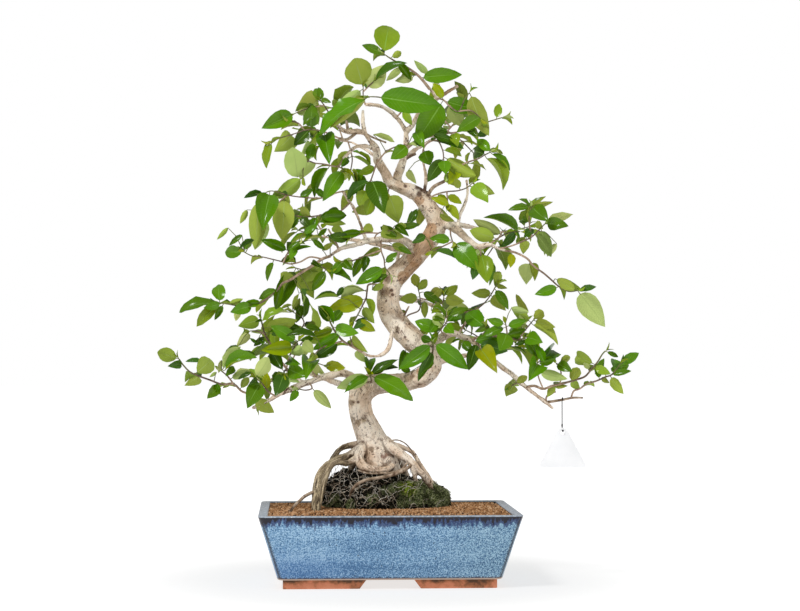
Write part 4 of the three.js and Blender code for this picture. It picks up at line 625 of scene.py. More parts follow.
# Painted shade: the deeper a corner lies in a hollow at a fork or crease, the darker it is painted, mixed
# with darker streaks along the grain.
hollow_shade_and_streaks = plus(tree, hollow, math_node(tree, "MULTIPLY_ADD", fibres, 0.5, -0.25))
tone = mix(tree, times(tree, between(tree, hollow_shade_and_streaks, 0.05, 0.5), 0.6), tone, BARK_PAINTED_SHADE)
tone = mix(tree, times(tree, between(tree, hollow_shade_and_streaks, 0.5, 1.3), 0.75), tone, BARK_DARK)
height_up = z_part(tree, place)
wavy = plus(tree, height_up, times(tree, clouds, -0.06))
soiled = between(tree, wavy, POT_MIDDLE.z + 0.11, POT_MIDDLE.z + 0.06)
tone = mix(tree, times(tree, soiled, 0.6), tone, ramp(
    tree, fibres, (0.4, colour(96, 76, 52)), (0.6, colour(204, 182, 150))))
leftward = between(tree, node(tree, "ShaderNodeSeparateXYZ", {0: moved}).outputs["X"],
                   seen((358, 470, -10)).x, seen((344, 470, -10)).x)
# Painted shade: faces that turn downwards are darkened towards a deep brown, more so near the soil.
facing = node(tree, "ShaderNodeNewGeometry").outputs["Normal"]
below = between(tree, z_part(tree, facing), 0.1, -0.7)
low_down = between(tree, height_up, POT_MIDDLE.z + 0.17, POT_MIDDLE.z + 0.13)
painted_underside_shade = times(tree, below, plus(tree, times(tree, low_down, 0.5), 0.3))
tone = mix(tree, painted_underside_shade, tone, BARK_PAINTED_SHADE)
old_root = times(tree, leftward, between(
    tree, height_up, seen((340, 436, 0)).z, seen((340, 450, 0)).z))
tone = mix(tree, times(tree, old_root, 0.85), tone, ramp(
    tree, fibres, (0.38, colour(44, 38, 26)), (0.49, colour(120, 104, 76)), (0.6, colour(214, 196, 160))))
paint(tree, shader, tone)
relief = plus(tree, fibres, times(tree, noise(tree, place, 500, 4), 0.5))
bump(tree, shader, relief, 0.0016, 0.8)

twig_bark, tree, shader = new_material("twig bark", Roughness=0.7, Specular_IOR_Level=0.15)
place = object_place(tree)
streaks = noise(tree, place, 110, 5, 0.6)
tone = ramp(tree, streaks, (0.36, colour(92, 72, 56)), (0.48, colour(160, 138, 116)),
            (0.66, colour(206, 188, 168)))
tone = mix(tree, times(tree, spots(tree, place, 300, 0.4, 0.34), 0.7), tone, BARK_DARK)
paint(tree, shader, tone)
bump(tree, shader, noise(tree, place, 600, 3), 0.0004, 0.5)

# %% [markdown]
# ## Trunk, limbs and roots
# The thick wood grew as one body, with no seams at its forks. The tubes are fused by a voxel
# remesh, which rounds every crotch, and smoothed a little. Each corner of the mesh then learns
# where it is along and across its limb, and how deep it lies in a hollow. Noise then pushes
# the surface in and out: broad muscles, flutes that run along the wood, and small knots.

# %% Thick wood
THICK = 2.5 * MM
VOXEL = 1.25 * MM

thick_names = [name for name, (path, radii) in wood.items() if max(radii) > THICK]
thin_names = [name for name in wood if name not in thick_names]

relief_tree, given, result = geometry_tree("Bark relief", [
    ("Muscle", "Float", 1.6 * MM), ("Knots", "Float", 0.9 * MM), ("Flutes", "Float", 0.0),
    ("Surface", "Material", None)])
place = node(relief_tree, "GeometryNodeInputPosition").outputs[0]
normal = node(relief_tree, "GeometryNodeInputNormal").outputs[0]
stretched = node(relief_tree, "ShaderNodeVectorMath", {0: place, 1: (1.0, 1.0, 0.45)},
                 operation="MULTIPLY").outputs[0]
broad = minus(relief_tree, noise(relief_tree, stretched, 55, 2), 0.5)
small = minus(relief_tree, noise(relief_tree, place, 190, 3), 0.5)
fibre_place = node(relief_tree, "GeometryNodeInputNamedAttribute", {"Name": "grain_place"},
                   data_type="FLOAT_VECTOR").outputs["Attribute"]
fluted = minus(relief_tree, noise(relief_tree, fibre_place, 150, 3), 0.5)
push = plus(relief_tree, times(relief_tree, broad, given["Muscle"]),
            times(relief_tree, small, given["Knots"]))
push = plus(relief_tree, push, times(relief_tree, fluted, given["Flutes"]))
push = times(relief_tree, push, 2.0)
offset = node(relief_tree, "ShaderNodeVectorMath", {0: normal, "Scale": push}, operation="SCALE")
moved = node(relief_tree, "GeometryNodeSetPosition", {
    "Geometry": given["Geometry"], "Offset": offset.outputs[0]}).outputs[0]
moved = node(relief_tree, "GeometryNodeSetShadeSmooth", {"Geometry": moved}).outputs[0]
relief_tree.links.new(surfaced(relief_tree, moved, given["Surface"]), result)


ALONG_STRETCH = 0.14
HOLLOW_ROUNDS = 40


def buried(spot, paths):
    """Whether a place on one limb's axis lies inside another limb."""
    own, place, radius = spot[:3]
    for order, (path, radii) in enumerate(paths):
        if order < own and any((place - other).length < thick for other, thick in zip(path, radii)):
            return True
    return False


def hollows(mesh):
    """How far in millimetres each corner lies below the mesh's own smoothed shape."""
    count = len(mesh.vertices)
    places = np.empty(count * 3)
    mesh.vertices.foreach_get("co", places)
    places = places.reshape(-1, 3)
    normals = np.empty(count * 3)
    mesh.vertex_normals.foreach_get("vector", normals)
    ends = np.empty(len(mesh.edges) * 2, dtype=np.int32)
    mesh.edges.foreach_get("vertices", ends)
    first, second = ends.reshape(-1, 2).T
    joined = np.bincount(first, minlength=count) + np.bincount(second, minlength=count)
    smoothed = places.copy()
    for _ in range(HOLLOW_ROUNDS):
        sums = [np.bincount(first, smoothed[second, axis], count)
                + np.bincount(second, smoothed[first, axis], count) for axis in range(3)]
        smoothed = (smoothed + np.stack(sums, axis=1) / joined[:, None]) / 2
    return ((smoothed - places) * normals.reshape(-1, 3)).sum(axis=1) / MM


def store_grain(piece, paths):
    """Stores on each corner its place along and across its limb, and how deep in a hollow it is."""
    samples = []
    for order, (path, radii) in enumerate(paths):
        run = 0.0
        for step, place in enumerate(path):
            onward = path[min(step + 1, len(path) - 1)] - path[max(step - 1, 0)]
            samples.append((order, place, radii[step], run, onward.normalized()))
            if step + 1 < len(path):
                run += (path[step + 1] - place).length
    samples = [sample for sample in samples if not buried(sample, paths)]
    nearest = KDTree(len(samples))
    for index, sample in enumerate(samples):
        nearest.insert(sample[1], index)
    nearest.balance()
    grain = []
    for corner in piece.data.vertices:
        _, index, _ = nearest.find(corner.co)
        own, place, _, run, along = samples[index]
        across = corner.co - place
        run += across.dot(along)
        grain += [across.x + own, across.y + run * ALONG_STRETCH * along.y,
                  across.z * (1 - abs(along.z)) + run * ALONG_STRETCH * (1 - abs(along.y))]
    mesh = piece.data
    store(mesh, "grain_place", "FLOAT_VECTOR", "vector", grain)
    store(mesh, "hollow", "FLOAT", "value", hollows(mesh))


def fused_wood(name, paths):
    chains = chain_object(name, paths)
    grow(chains, tube_tree, {"Sides": 16, "Surface": bark})
    remesh = chains.modifiers.new("one body", "REMESH")
    remesh.mode = "VOXEL"
    remesh.voxel_size = VOXEL
    remesh.use_smooth_shade = True
    smooth = chains.modifiers.new("soft forks", "SMOOTH")
    smooth.factor = 0.5
    smooth.iterations = 3
    fused = finished(chains, name + "_fused")
    store_grain(fused, paths)
    grow(fused, relief_tree, {"Flutes": 1.4 * MM, "Surface": bark})
    return finished(fused, name)


trunk = fused_wood("trunk_limbs_roots", [wood[name] for name in thick_names])
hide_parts("tree")
print("thick wood:", triangle_count(trunk.data), "triangles")

# %% Thin wood
thin = chain_object("bare_twigs", [wood[name] for name in thin_names])
grow(thin, tube_tree, {"Sides": 9, "Surface": twig_bark})
grow(thin, relief_tree, {"Muscle": 0.3 * MM, "Knots": 0.3 * MM, "Surface": twig_bark})
bare_twigs = finished(thin, "bare_twigs")
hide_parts("tree")
print("thin wood:", triangle_count(bare_twigs.data), "triangles")

# %% [markdown]
# ## The tag and its string
# A blank card hangs from a low twig at the right by a dark thread. The thread is a real length of
# something limp, so it is a curve, laid along the same route as in the solids: over the twig,
# down, and through the hole in the card to a knot in front of it.

# %% The string
STRING_RADIUS = 0.55 * MM
HOOK_GAP = 0.55 * MM
HOOK_START = -0.15 * math.pi
HOOK_TURN = 1.15 * math.pi
HOOK_STEPS = 6
DROP_SHARES = (0.25, 0.5, 0.72)
THROUGH = 2.4 * MM
THROUGH_STEPS = 3
CARD_PAST_BEND = 1.6 * MM
STRING_PAST_CARD = 1.9 * MM
KNOT_RADIUS = 1.5 * MM
KNOT_REACH = KNOT_RADIUS * 0.8507
TWIG_SPOT = (563.4, 400, -22)

string_low, string_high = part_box("tag_string")
hole_z = string_low.z + KNOT_REACH
drop_y = string_high.y - STRING_RADIUS
twig_place, twig_radius, twig_along = nearest_place(seen(TWIG_SPOT), wood.values())
hook_bend = twig_radius + HOOK_GAP + STRING_RADIUS
hook_middle = Vector(((string_low.x + string_high.x) / 2, drop_y - hook_bend,
                      string_high.z - STRING_RADIUS - hook_bend))

route = []
for step in range(HOOK_STEPS + 1):
    angle = HOOK_TURN * step / HOOK_STEPS + HOOK_START
    route.append(hook_middle + Vector((0, -math.cos(angle), math.sin(angle))) * hook_bend)
for share in DROP_SHARES:
    drop = (hook_middle.z - hole_z) * share
    route.append(Vector((hook_middle.x, drop_y, hook_middle.z - drop)))
for step in range(THROUGH_STEPS + 1):
    angle = math.pi / 2 * step / THROUGH_STEPS
    route.append(Vector((hook_middle.x, drop_y - THROUGH * (1 - math.cos(angle)),
                         hole_z + THROUGH - THROUGH * math.sin(angle))))
tag_y = drop_y - THROUGH - CARD_PAST_BEND
route.append(Vector((hook_middle.x, tag_y - STRING_PAST_CARD, hole_z)))

thread, tree, shader = new_material("thread", Roughness=0.85, Specular_IOR_Level=0.1)
turns = node(tree, "ShaderNodeTexWave", {
    "Vector": object_place(tree), "Scale": 900.0, "Distortion": 2.0}, bands_direction="DIAGONAL")
paint(tree, shader, ramp(tree, turns.outputs["Fac"], (0.2, colour(16, 15, 16)), (0.8, colour(50, 47, 48))))

string_curve = bpy.data.curves.new("string", "CURVE")
string_curve.dimensions = "3D"
string_curve.bevel_depth = STRING_RADIUS
string_curve.bevel_resolution = 2
string_curve.use_fill_caps = True
spline = string_curve.splines.new("POLY")
spline.points.add(len(route) - 1)
for spot, place in zip(spline.points, route):
    spot.co = (*place, 1)
string_curve.materials.append(thread)
string = add_object("string", string_curve)
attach(string, "root")
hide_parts("tag_string")

# %% The knot in front of the card and the hitch above it
KNOT_PAST_CARD = 2.6 * MM
KNOT_SHAPE = Vector((1, 1, 1))
KNOT_LOBES = 3
HITCH_UP = 6 * MM
HITCH_SHAPE = Vector((0.75, 0.75, 2.1))

knot_shape = bmesh.new()
knot_place = Vector((hook_middle.x, tag_y - KNOT_PAST_CARD, hole_z))
hitch_place = Vector((hook_middle.x, drop_y, hole_z + HITCH_UP))
for middle, shape in ((knot_place, KNOT_SHAPE), (hitch_place, HITCH_SHAPE)):
    made = bmesh.ops.create_icosphere(knot_shape, subdivisions=3, radius=KNOT_RADIUS * 0.85)
    for corner in made["verts"]:
        turn = math.atan2(corner.co.z, corner.co.x)
        corner.co *= 1 + 0.1 * math.sin(KNOT_LOBES * turn + corner.co.y / KNOT_RADIUS * 4)
        corner.co = corner.co * shape + middle
for face in knot_shape.faces:
    face.smooth = True
knot_mesh = bpy.data.meshes.new("string_knot")
knot_shape.to_mesh(knot_mesh)
knot_shape.free()
knot_mesh.materials.append(thread)
knot = add_object("string_knot", knot_mesh)
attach(knot, "root")
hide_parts("tag_string")

# %% [markdown]
# ## The card
# The tag keeps its node's shape, a rounded triangle with a hole. It is satin white card: a faint
# mottle in the colour and a fibrous surface are all that such a plain thing shows.

# %% Card material
card, tree, shader = new_material("white card", Roughness=0.38)
place = object_place(tree)
fibres = noise(tree, place, 700, 3)
paint(tree, shader, ramp(tree, noise(tree, place, 45, 3), (0.3, colour(246, 247, 249)),
                         (0.7, colour(254, 254, 255))))
bump(tree, shader, fibres, 0.00005, 0.4)
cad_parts["tag"].material_slots[0].material = card

# %% [markdown]
# ## The pot
# A shallow oblong pot, pressed in a mould and fired: its edges are never sharp. The node's copy
# is merged and bevelled, so every edge catches a line of light, and the top of the rim is painted
# pale as a painted highlight. The glaze ran before it froze, so a dark band hangs below the rim in
# drips, and it pooled into speckles on the walls. Its feet were wiped clean and show the clay.

# %% Glaze
POT_TOP = pot_high.z
FOOT_TOP = 10.9 * MM

GLAZE_LIGHT = colour(164, 198, 223)
GLAZE_DEEP = colour(62, 102, 140)
GLAZE_NAVY = colour(14, 17, 38)
GLAZE_BROWN = colour(38, 34, 40)
GLAZE_TOP_HALF = (155.0 * MM, 117.5 * MM)
WALL_LEAN = 23
WALL_HEIGHT = 87.4 - 10.9
GLAZE_SLOPE = WALL_LEAN / WALL_HEIGHT

glaze, tree, shader = new_material("blue glaze", Roughness=0.2, Specular_IOR_Level=0.28,
                                   Coat_Weight=0.12, Coat_Roughness=0.06)
place = node(tree, "ShaderNodeMapping", {
    "Vector": object_place(tree), "Location": tuple(-POT_MIDDLE)}).outputs[0]
parts = node(tree, "ShaderNodeSeparateXYZ", {0: place}).outputs
cells = noise(tree, place, 740, 2, 0.5, 0.3)
clouds = noise(tree, place, 16, 4, 0.55)
flat = node(tree, "ShaderNodeVectorMath", {0: place, 1: (0.35, 0.35, 3.2)}, operation="MULTIPLY")
shelves = noise(tree, flat.outputs[0], 16, 3, 0.5)
lightness = plus(tree, times(tree, shelves, 0.5), times(tree, clouds, 0.25))
lightness = plus(tree, lightness, times(tree, cells, 1.4))
tone = ramp(tree, minus(tree, lightness, 0.6), (0.3, GLAZE_DEEP),
            (0.48, colour(108, 152, 192)), (0.62, GLAZE_LIGHT))
rightward = between(tree, parts["X"], 0.02, 0.13)
tone = mix(tree, times(tree, rightward, 0.35), tone,
           mix(tree, between(tree, cells, 0.4, 0.6), colour(54, 82, 108), colour(150, 186, 196)))
lower_left = times(tree, between(tree, parts["X"], 0.02, -0.13), between(tree, parts["Z"], 0.06, 0.02))
tone = mix(tree, times(tree, lower_left, 0.35), tone, colour(64, 112, 178))
pinholes = between(tree, noise(tree, place, 230, 2), 0.3, 0.24)
tone = mix(tree, times(tree, pinholes, 0.8), tone, GLAZE_NAVY)
streaked = node(tree, "ShaderNodeVectorMath", {0: place, 1: (1.0, 1.0, 0.22)}, operation="MULTIPLY")
runs = noise(tree, streaked.outputs[0], 300, 2, 0.5)
wide_runs = noise(tree, streaked.outputs[0], 60, 2, 0.5)
ragged = plus(tree, parts["Z"], times(tree, runs, 0.022))
ragged = plus(tree, ragged, times(tree, wide_runs, 0.01))
drips = between(tree, ragged, POT_TOP + 0.0025, POT_TOP + 0.0065)
tone = mix(tree, times(tree, drips, 0.85), tone, colour(34, 48, 96))
band = between(tree, plus(tree, ragged, 0.004), POT_TOP + 0.0125, POT_TOP + 0.0155)
tone = mix(tree, band, tone, mix(tree, clouds, GLAZE_BROWN, GLAZE_NAVY))
half_x = math_node(tree, "MULTIPLY_ADD", parts["Z"], GLAZE_SLOPE, GLAZE_TOP_HALF[0] - GLAZE_SLOPE * POT_TOP)
half_y = math_node(tree, "MULTIPLY_ADD", parts["Z"], GLAZE_SLOPE, GLAZE_TOP_HALF[1] - GLAZE_SLOPE * POT_TOP)
from_x = minus(tree, half_x, math_node(tree, "ABSOLUTE", parts["X"]))
from_y = minus(tree, half_y, math_node(tree, "ABSOLUTE", parts["Y"]))
from_corner = plus(tree, math_node(tree, "MAXIMUM", from_x, from_y), times(tree, cells, 0.003))
edge = between(tree, from_corner, 0.0085, 0.0042)
tone = mix(tree, times(tree, edge, 0.85), tone, GLAZE_BROWN)
foot_line = plus(tree, parts["Z"], times(tree, cells, 0.004))
skirt = between(tree, foot_line, FOOT_TOP + 0.0062, FOOT_TOP + 0.0042)
tone = mix(tree, times(tree, skirt, 0.8), tone, colour(58, 50, 56))
bare = between(tree, parts["Z"], FOOT_TOP + 0.0021, FOOT_TOP + 0.0014)
tone = mix(tree, bare, tone, colour(184, 160, 144))
# Painted highlight: the top of the rim is painted pale grey where it catches the light.
rim = between(tree, parts["Z"], POT_TOP - 0.0017, POT_TOP - 0.0006)
tone = mix(tree, rim, tone, ramp(tree, noise(tree, place, 240, 3), (0.36, colour(130, 144, 162)),
                                 (0.6, colour(186, 196, 208))))
paint(tree, shader, tone)
bump(tree, shader, cells, 0.0002, 0.4)

clay, tree, shader = new_material("bare clay", Roughness=0.75)
place = object_place(tree)
stains = noise(tree, place, 55, 6, 0.65)
high_up = between(tree, z_part(tree, place), 0.004, 0.0105)
stains = minus(tree, stains, times(tree, high_up, 0.15))
mossy_corner = near(tree, place, seen((288, 582, -117)), 42 * MM)
stains = minus(tree, stains, times(tree, mossy_corner, 0.1))
tone = ramp(tree, stains, (0.3, colour(88, 58, 34)), (0.42, colour(168, 104, 66)),
            (0.52, colour(208, 128, 92)), (0.7, colour(220, 144, 108)))
paint(tree, shader, tone)
bump(tree, shader, noise(tree, place, 480, 4), 0.0004, 0.7)

# %% The pot's piece
SAME_CORNER = 0.01 * MM
FLAT_ANGLE = math.radians(1)
POT_EDGE = 1.3 * MM
POT_CREASE = math.radians(50)
POT_SHARP = math.radians(48)
CLAY_TOP = FOOT_TOP - 0.2 * MM


def merged_copy(node_name, name):
    """A node's copy whose loose triangles are joined at their corners."""
    shell = bmesh.new()
    shell.from_mesh(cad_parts[node_name].data)
    bmesh.ops.remove_doubles(shell, verts=shell.verts, dist=SAME_CORNER)
    bmesh.ops.dissolve_limit(shell, angle_limit=FLAT_ANGLE, verts=shell.verts, edges=shell.edges)
    mesh = bpy.data.meshes.new(name)
    shell.to_mesh(mesh)
    shell.free()
    mesh.materials.clear()
    return add_object(name, mesh)


pot_copy = merged_copy("pot", "pot_copy")
bevel = pot_copy.modifiers.new("worn edges", "BEVEL")
bevel.width = POT_EDGE
bevel.segments = 3
bevel.limit_method = "ANGLE"
bevel.angle_limit = POT_CREASE
pot = finished(pot_copy, "glazed_pot")
pot.data.materials.append(glaze)
pot.data.materials.append(clay)
for face in pot.data.polygons:
    face.use_smooth = True
    face.material_index = 1 if face.center.z < CLAY_TOP else 0
pot.data.set_sharp_from_angle(angle=POT_SHARP)
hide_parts("pot")
print("pot:", triangle_count(pot.data), "triangles")

# %% [markdown]
# ## Under the pot
# Two squares of plastic mesh lie over the drain holes, each held by a bent wire. They keep their
# nodes' shapes and get a dull black plastic and a drawn, slightly rusted wire.

# %% Mesh and wire
plastic, tree, shader = new_material("mesh plastic", Roughness=0.5)
place = object_place(tree)
paint(tree, shader, ramp(tree, noise(tree, place, 260, 3), (0.3, colour(30, 32, 34)),
                         (0.7, colour(58, 62, 64))))
bump(tree, shader, noise(tree, place, 900, 2), 0.0001, 0.5)
wire, tree, shader = new_material("clip wire", Roughness=0.35, Metallic=0.9)
place = object_place(tree)
paint(tree, shader, ramp(tree, noise(tree, place, 320, 4), (0.35, colour(112, 74, 52)),
                         (0.6, colour(172, 168, 160))))
for side in ("left", "right"):
    for name, surface in (("drainage_mesh", plastic), ("mesh_clip", wire)):
        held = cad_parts[f"{name}_{side}"].data.materials
        held.clear()
        held.append(surface)

# %% [markdown]
# ## Soil and mound
# The pot is topped with orange-brown clay granules of 3 to 4 mm. They repeat by the thousand, so
# Geometry Nodes scatter one rough grain over the soil with a least distance between neighbours.
# The mound in the middle is old dark soil that the roots grew over: remeshed, roughened, and
# tufted with moss.

# %% Soil materials
grit, tree, shader = new_material("clay granules", Roughness=0.9, Specular_IOR_Level=0.1)
place = object_place(tree)
shade = stored(tree, "grain_tone")
tone = ramp(tree, shade, (0.0, colour(104, 72, 42)), (0.35, colour(172, 128, 86)),
            (0.7, colour(208, 158, 112)), (1.0, colour(238, 202, 162)))
dust = noise(tree, place, 500, 3)
tone = mix(tree, times(tree, dust, 0.5), tone, colour(158, 108, 74))
paint(tree, shader, tone)
bump(tree, shader, dust, 0.0004, 0.7)

soil_surface, tree, shader = new_material("soil", Roughness=0.95, Specular_IOR_Level=0.1)
place = object_place(tree)
grains = node(tree, "ShaderNodeTexVoronoi", {"Vector": place, "Scale": 420.0})
paint(tree, shader, ramp(tree, grains.outputs["Distance"], (0.1, colour(96, 64, 42)),
                         (0.5, colour(60, 40, 28)), (0.8, colour(34, 24, 18))))
bump(tree, shader, grains.outputs["Distance"], 0.0012, 0.8)

# %% Granules by Geometry Nodes
grain_tree, given, result = geometry_tree("Granules", [
    ("Least gap", "Float", 2.9 * MM), ("Grain", "Float", 1.9 * MM), ("Facing", "Float", 0.5),
    ("Seed", "Int", 4), ("Surface", "Material", None)])
ball = node(grain_tree, "GeometryNodeMeshIcoSphere", {"Radius": 1.0, "Subdivisions": 1})
facing = node(grain_tree, "GeometryNodeInputNormal").outputs[0]
upward = node(grain_tree, "ShaderNodeSeparateXYZ", {0: facing}).outputs["Z"]
top = node(grain_tree, "FunctionNodeCompare", {0: upward, 1: given["Facing"]},
           operation="GREATER_THAN")
spots = node(grain_tree, "GeometryNodeDistributePointsOnFaces", {
    "Mesh": given["Geometry"], "Selection": top.outputs[0], "Distance Min": given["Least gap"],
    "Density Max": 260000.0, "Seed": given["Seed"]}, distribute_method="POISSON")
spin = node(grain_tree, "FunctionNodeRandomValue", {
    0: (0.0, 0.0, 0.0), 1: (6.28, 6.28, 6.28), 8: given["Seed"]}, data_type="FLOAT_VECTOR")
girth = node(grain_tree, "FunctionNodeRandomValue", {
    0: (0.62, 0.62, 0.5), 1: (1.15, 1.15, 0.95), 8: 7}, data_type="FLOAT_VECTOR")
girth = node(grain_tree, "ShaderNodeVectorMath", {0: girth.outputs[0], "Scale": given["Grain"]},
             operation="SCALE").outputs[0]
grains = node(grain_tree, "GeometryNodeInstanceOnPoints", {
    "Points": spots.outputs["Points"], "Instance": ball.outputs["Mesh"],
    "Rotation": spin.outputs[0], "Scale": girth}).outputs[0]


def shaded(tree, instances, name, seed):
    """Nodes that give each instance a shade of its own, from 0 to 1."""
    shade = node(tree, "FunctionNodeRandomValue", {2: 0.0, 3: 1.0, 8: seed}, data_type="FLOAT")
    return node(tree, "GeometryNodeStoreNamedAttribute", {
        "Geometry": instances, "Name": name, "Value": shade.outputs[1]},
        data_type="FLOAT", domain="INSTANCE").outputs[0]


grains = shaded(grain_tree, grains, "grain_tone", 11)
grain_tree.links.new(surfaced(grain_tree, grains, given["Surface"]), result)

soil_copy = merged_copy("soil", "soil_copy")
grow(soil_copy, grain_tree, {"Surface": grit})
granules = finished(soil_copy, "soil_granules")
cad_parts["soil"].material_slots[0].material = soil_surface
print("granules:", triangle_count(granules.data), "triangles")

# %% [markdown]
# ## The mossy mound
# The lump of old soil is black and crumbly, held together by fine roots, with moss where it stays
# damp. Its solid is copied, lumps are added where soil still hangs under the roots, and a voxel
# remesh makes one body of them. Each corner then learns how mossy it is. The same number paints
# the earth green and tells Geometry Nodes where the moss tufts stand.

# %% The mound
LUMPS = [((352, 478, 14), 10), ((342, 482, 8), 11), ((362, 472, 20), 10), ((396, 479, 12), 9),
         ((331, 492, 0), 10), ((372, 476, 0), 9), ((384, 478, -4), 7), ((345, 476, 40), 9),
         ((334, 484, 4), 9), ((348, 474, 22), 6), ((338, 476, 12), 5), ((326, 499, -6), 8)]
MOSS_DRAWN = [((407, 489), 17), ((397, 487), 13), ((417, 496), 18), ((431, 495), 20), ((440, 499), 14),
              ((333, 501), 14), ((327, 505), 9), ((386, 491), 10), ((372, 499), 10), ((350, 504), 9),
              ((421, 487), 13), ((404, 502), 12), ((434, 487), 12)]
MOSS_BEHIND = [((440, 500, 20), 18), ((390, 490, 75), 26), ((340, 495, 60), 20), ((428, 484, 40), 14),
               ((325, 500, 20), 14)]
BRIGHT_MOSS = (407, 489)
BRIGHT_REACH = 15 * MM
EYE_PLACE = EYE * MM + POT_MIDDLE
MOUND_VOXEL = 1.5 * MM

earth, tree, shader = new_material("dark earth", Roughness=0.97, Specular_IOR_Level=0.1)
place = object_place(tree)
lumps = noise(tree, place, 110, 6, 0.7)
tone = ramp(tree, lumps, (0.42, colour(4, 4, 2)), (0.54, colour(18, 17, 11)),
            (0.7, colour(84, 82, 60)))
mossy = stored(tree, "moss")
green = ramp(tree, noise(tree, place, 240, 4, 0.6), (0.4, colour(34, 44, 18)), (0.6, colour(78, 96, 32)))
tone = mix(tree, between(tree, mossy, 0.25, 0.6), tone, green)
paint(tree, shader, tone)
bump(tree, shader, noise(tree, place, 420, 5, 0.7), 0.0016, 0.9)

mound_copy = merged_copy("root_mound", "mound_copy")
shell = bmesh.new()
shell.from_mesh(mound_copy.data)
for drawn, reach in LUMPS:
    bmesh.ops.create_icosphere(shell, subdivisions=2, radius=reach * MM,
                               matrix=Matrix.Translation(seen(drawn)))
shell.to_mesh(mound_copy.data)
shell.free()
remesh = mound_copy.modifiers.new("fine grid", "REMESH")
remesh.mode = "VOXEL"
remesh.voxel_size = MOUND_VOXEL
smooth = mound_copy.modifiers.new("settled", "SMOOTH")
smooth.factor = 0.5
smooth.iterations = 3
grow(mound_copy, relief_tree, {"Muscle": 4 * MM, "Knots": 3.4 * MM, "Surface": earth})
mound = finished(mound_copy, "mossy_mound")


def on_mound(u, v):
    """Where the mound shows at a point of the drawing."""
    found, spot, _, _ = mound.ray_cast(EYE_PLACE, (seen((u, v, 0)) - EYE_PLACE).normalized())
    return spot if found else mound.closest_point_on_mesh(seen((u, v, 0)))[1]


centres = [(on_mound(*drawn), reach * MM) for drawn, reach in MOSS_DRAWN]
centres += [(mound.closest_point_on_mesh(seen(drawn))[1], reach * MM) for drawn, reach in MOSS_BEHIND]
mosses = [max(1 - (corner.co - centre).length / reach for centre, reach in centres)
          for corner in mound.data.vertices]
store(mound.data, "moss", "FLOAT", "value", mosses)
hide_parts("root_mound")
print("mound:", triangle_count(mound.data), "triangles")

# %% Crumbs of earth
crumb, tree, shader = new_material("earth crumbs", Roughness=0.95, Specular_IOR_Level=0.1)
shade = stored(tree, "grain_tone")
tone = ramp(tree, shade, (0.0, colour(4, 4, 3)), (0.6, colour(20, 18, 12)),
            (0.84, colour(96, 92, 72)), (1.0, colour(214, 210, 194)))
dust = noise(tree, object_place(tree), 500, 3)
paint(tree, shader, mix(tree, times(tree, dust, 0.3), tone, colour(18, 16, 10)))
bump(tree, shader, dust, 0.0004, 0.7)


crumb_source = add_object("crumb_source", mound.data.copy())
grow(crumb_source, grain_tree, {"Least gap": 3.4 * MM, "Grain": 1.5 * MM, "Facing": -0.2,
                                "Surface": crumb})
crumbs = finished(crumb_source, "earth_crumbs")
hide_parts("root_mound")
print("crumbs:", triangle_count(crumbs.data), "triangles")

# %% Moss tufts by Geometry Nodes
moss_green, tree, shader = new_material("moss", Roughness=0.85, Specular_IOR_Level=0.1)
shade = stored(tree, "tuft_tone")
fresh = ramp(tree, shade, (0.0, colour(84, 112, 12)), (0.5, colour(160, 194, 44)),
             (1.0, colour(236, 240, 120)))
dull = ramp(tree, shade, (0.0, colour(50, 58, 32)), (0.5, colour(132, 144, 92)),
            (1.0, colour(214, 218, 170)))
bright = near(tree, object_place(tree), on_mound(*BRIGHT_MOSS), BRIGHT_REACH)
tone = mix(tree, bright, dull, fresh)
worn = between(tree, noise(tree, object_place(tree), 80, 5, 0.7), 0.44, 0.6)
paint(tree, shader, mix(tree, times(tree, worn, 0.75), tone, colour(40, 44, 18)))

tuft_tree, given, result = geometry_tree("Moss tufts", [
    ("Blades per area", "Float", 1300000.0), ("Height", "Float", 3.2 * MM), ("Width", "Float", 0.45 * MM),
    ("Seed", "Int", 3), ("Surface", "Material", None)])
blade = node(tuft_tree, "GeometryNodeMeshCone", {
    "Vertices": 3, "Radius Top": 0.0, "Radius Bottom": given["Width"], "Depth": given["Height"]},
    fill_type="NONE").outputs["Mesh"]
mossy = node(tuft_tree, "GeometryNodeInputNamedAttribute", {"Name": "moss"}).outputs["Attribute"]
grown_over = node(tuft_tree, "FunctionNodeCompare", {0: mossy, 1: 0.22}, operation="GREATER_THAN")
spots = node(tuft_tree, "GeometryNodeDistributePointsOnFaces", {
    "Mesh": given["Geometry"], "Selection": grown_over.outputs[0],
    "Density": given["Blades per area"], "Seed": given["Seed"]})
lean = node(tuft_tree, "FunctionNodeRandomValue", {
    0: (-0.7, -0.7, 0.0), 1: (0.7, 0.7, 6.28), 8: given["Seed"]}, data_type="FLOAT_VECTOR")
turned = node(tuft_tree, "FunctionNodeRotateRotation", {
    "Rotation": spots.outputs["Rotation"], "Rotate By": lean.outputs[0]}, rotation_space="LOCAL")
size = node(tuft_tree, "FunctionNodeRandomValue", {2: 0.5, 3: 1.3, 8: 5}, data_type="FLOAT")
tufts = node(tuft_tree, "GeometryNodeInstanceOnPoints", {
    "Points": spots.outputs["Points"], "Instance": blade, "Rotation": turned.outputs[0],
    "Scale": size.outputs[1]}).outputs[0]
tufts = shaded(tuft_tree, tufts, "tuft_tone", 9)
tuft_tree.links.new(surfaced(tuft_tree, tufts, given["Surface"]), result)

tuft_source = add_object("tuft_source", mound.data.copy())
grow(tuft_source, tuft_tree, {"Surface": moss_green})
tufts = finished(tuft_source, "moss_tufts")
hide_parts("root_mound")
print("moss tufts:", triangle_count(tufts.data), "triangles")

# %% [markdown]
# ## Rootlets
# Fine roots, pale where they are alive and black where they are dead, creep all over the mound
# and hang between it and the big roots. Each is a walk over the surface: a step along it, a
# small seeded turn, and back down to the nearest place on the mesh. The tube tree sweeps them.

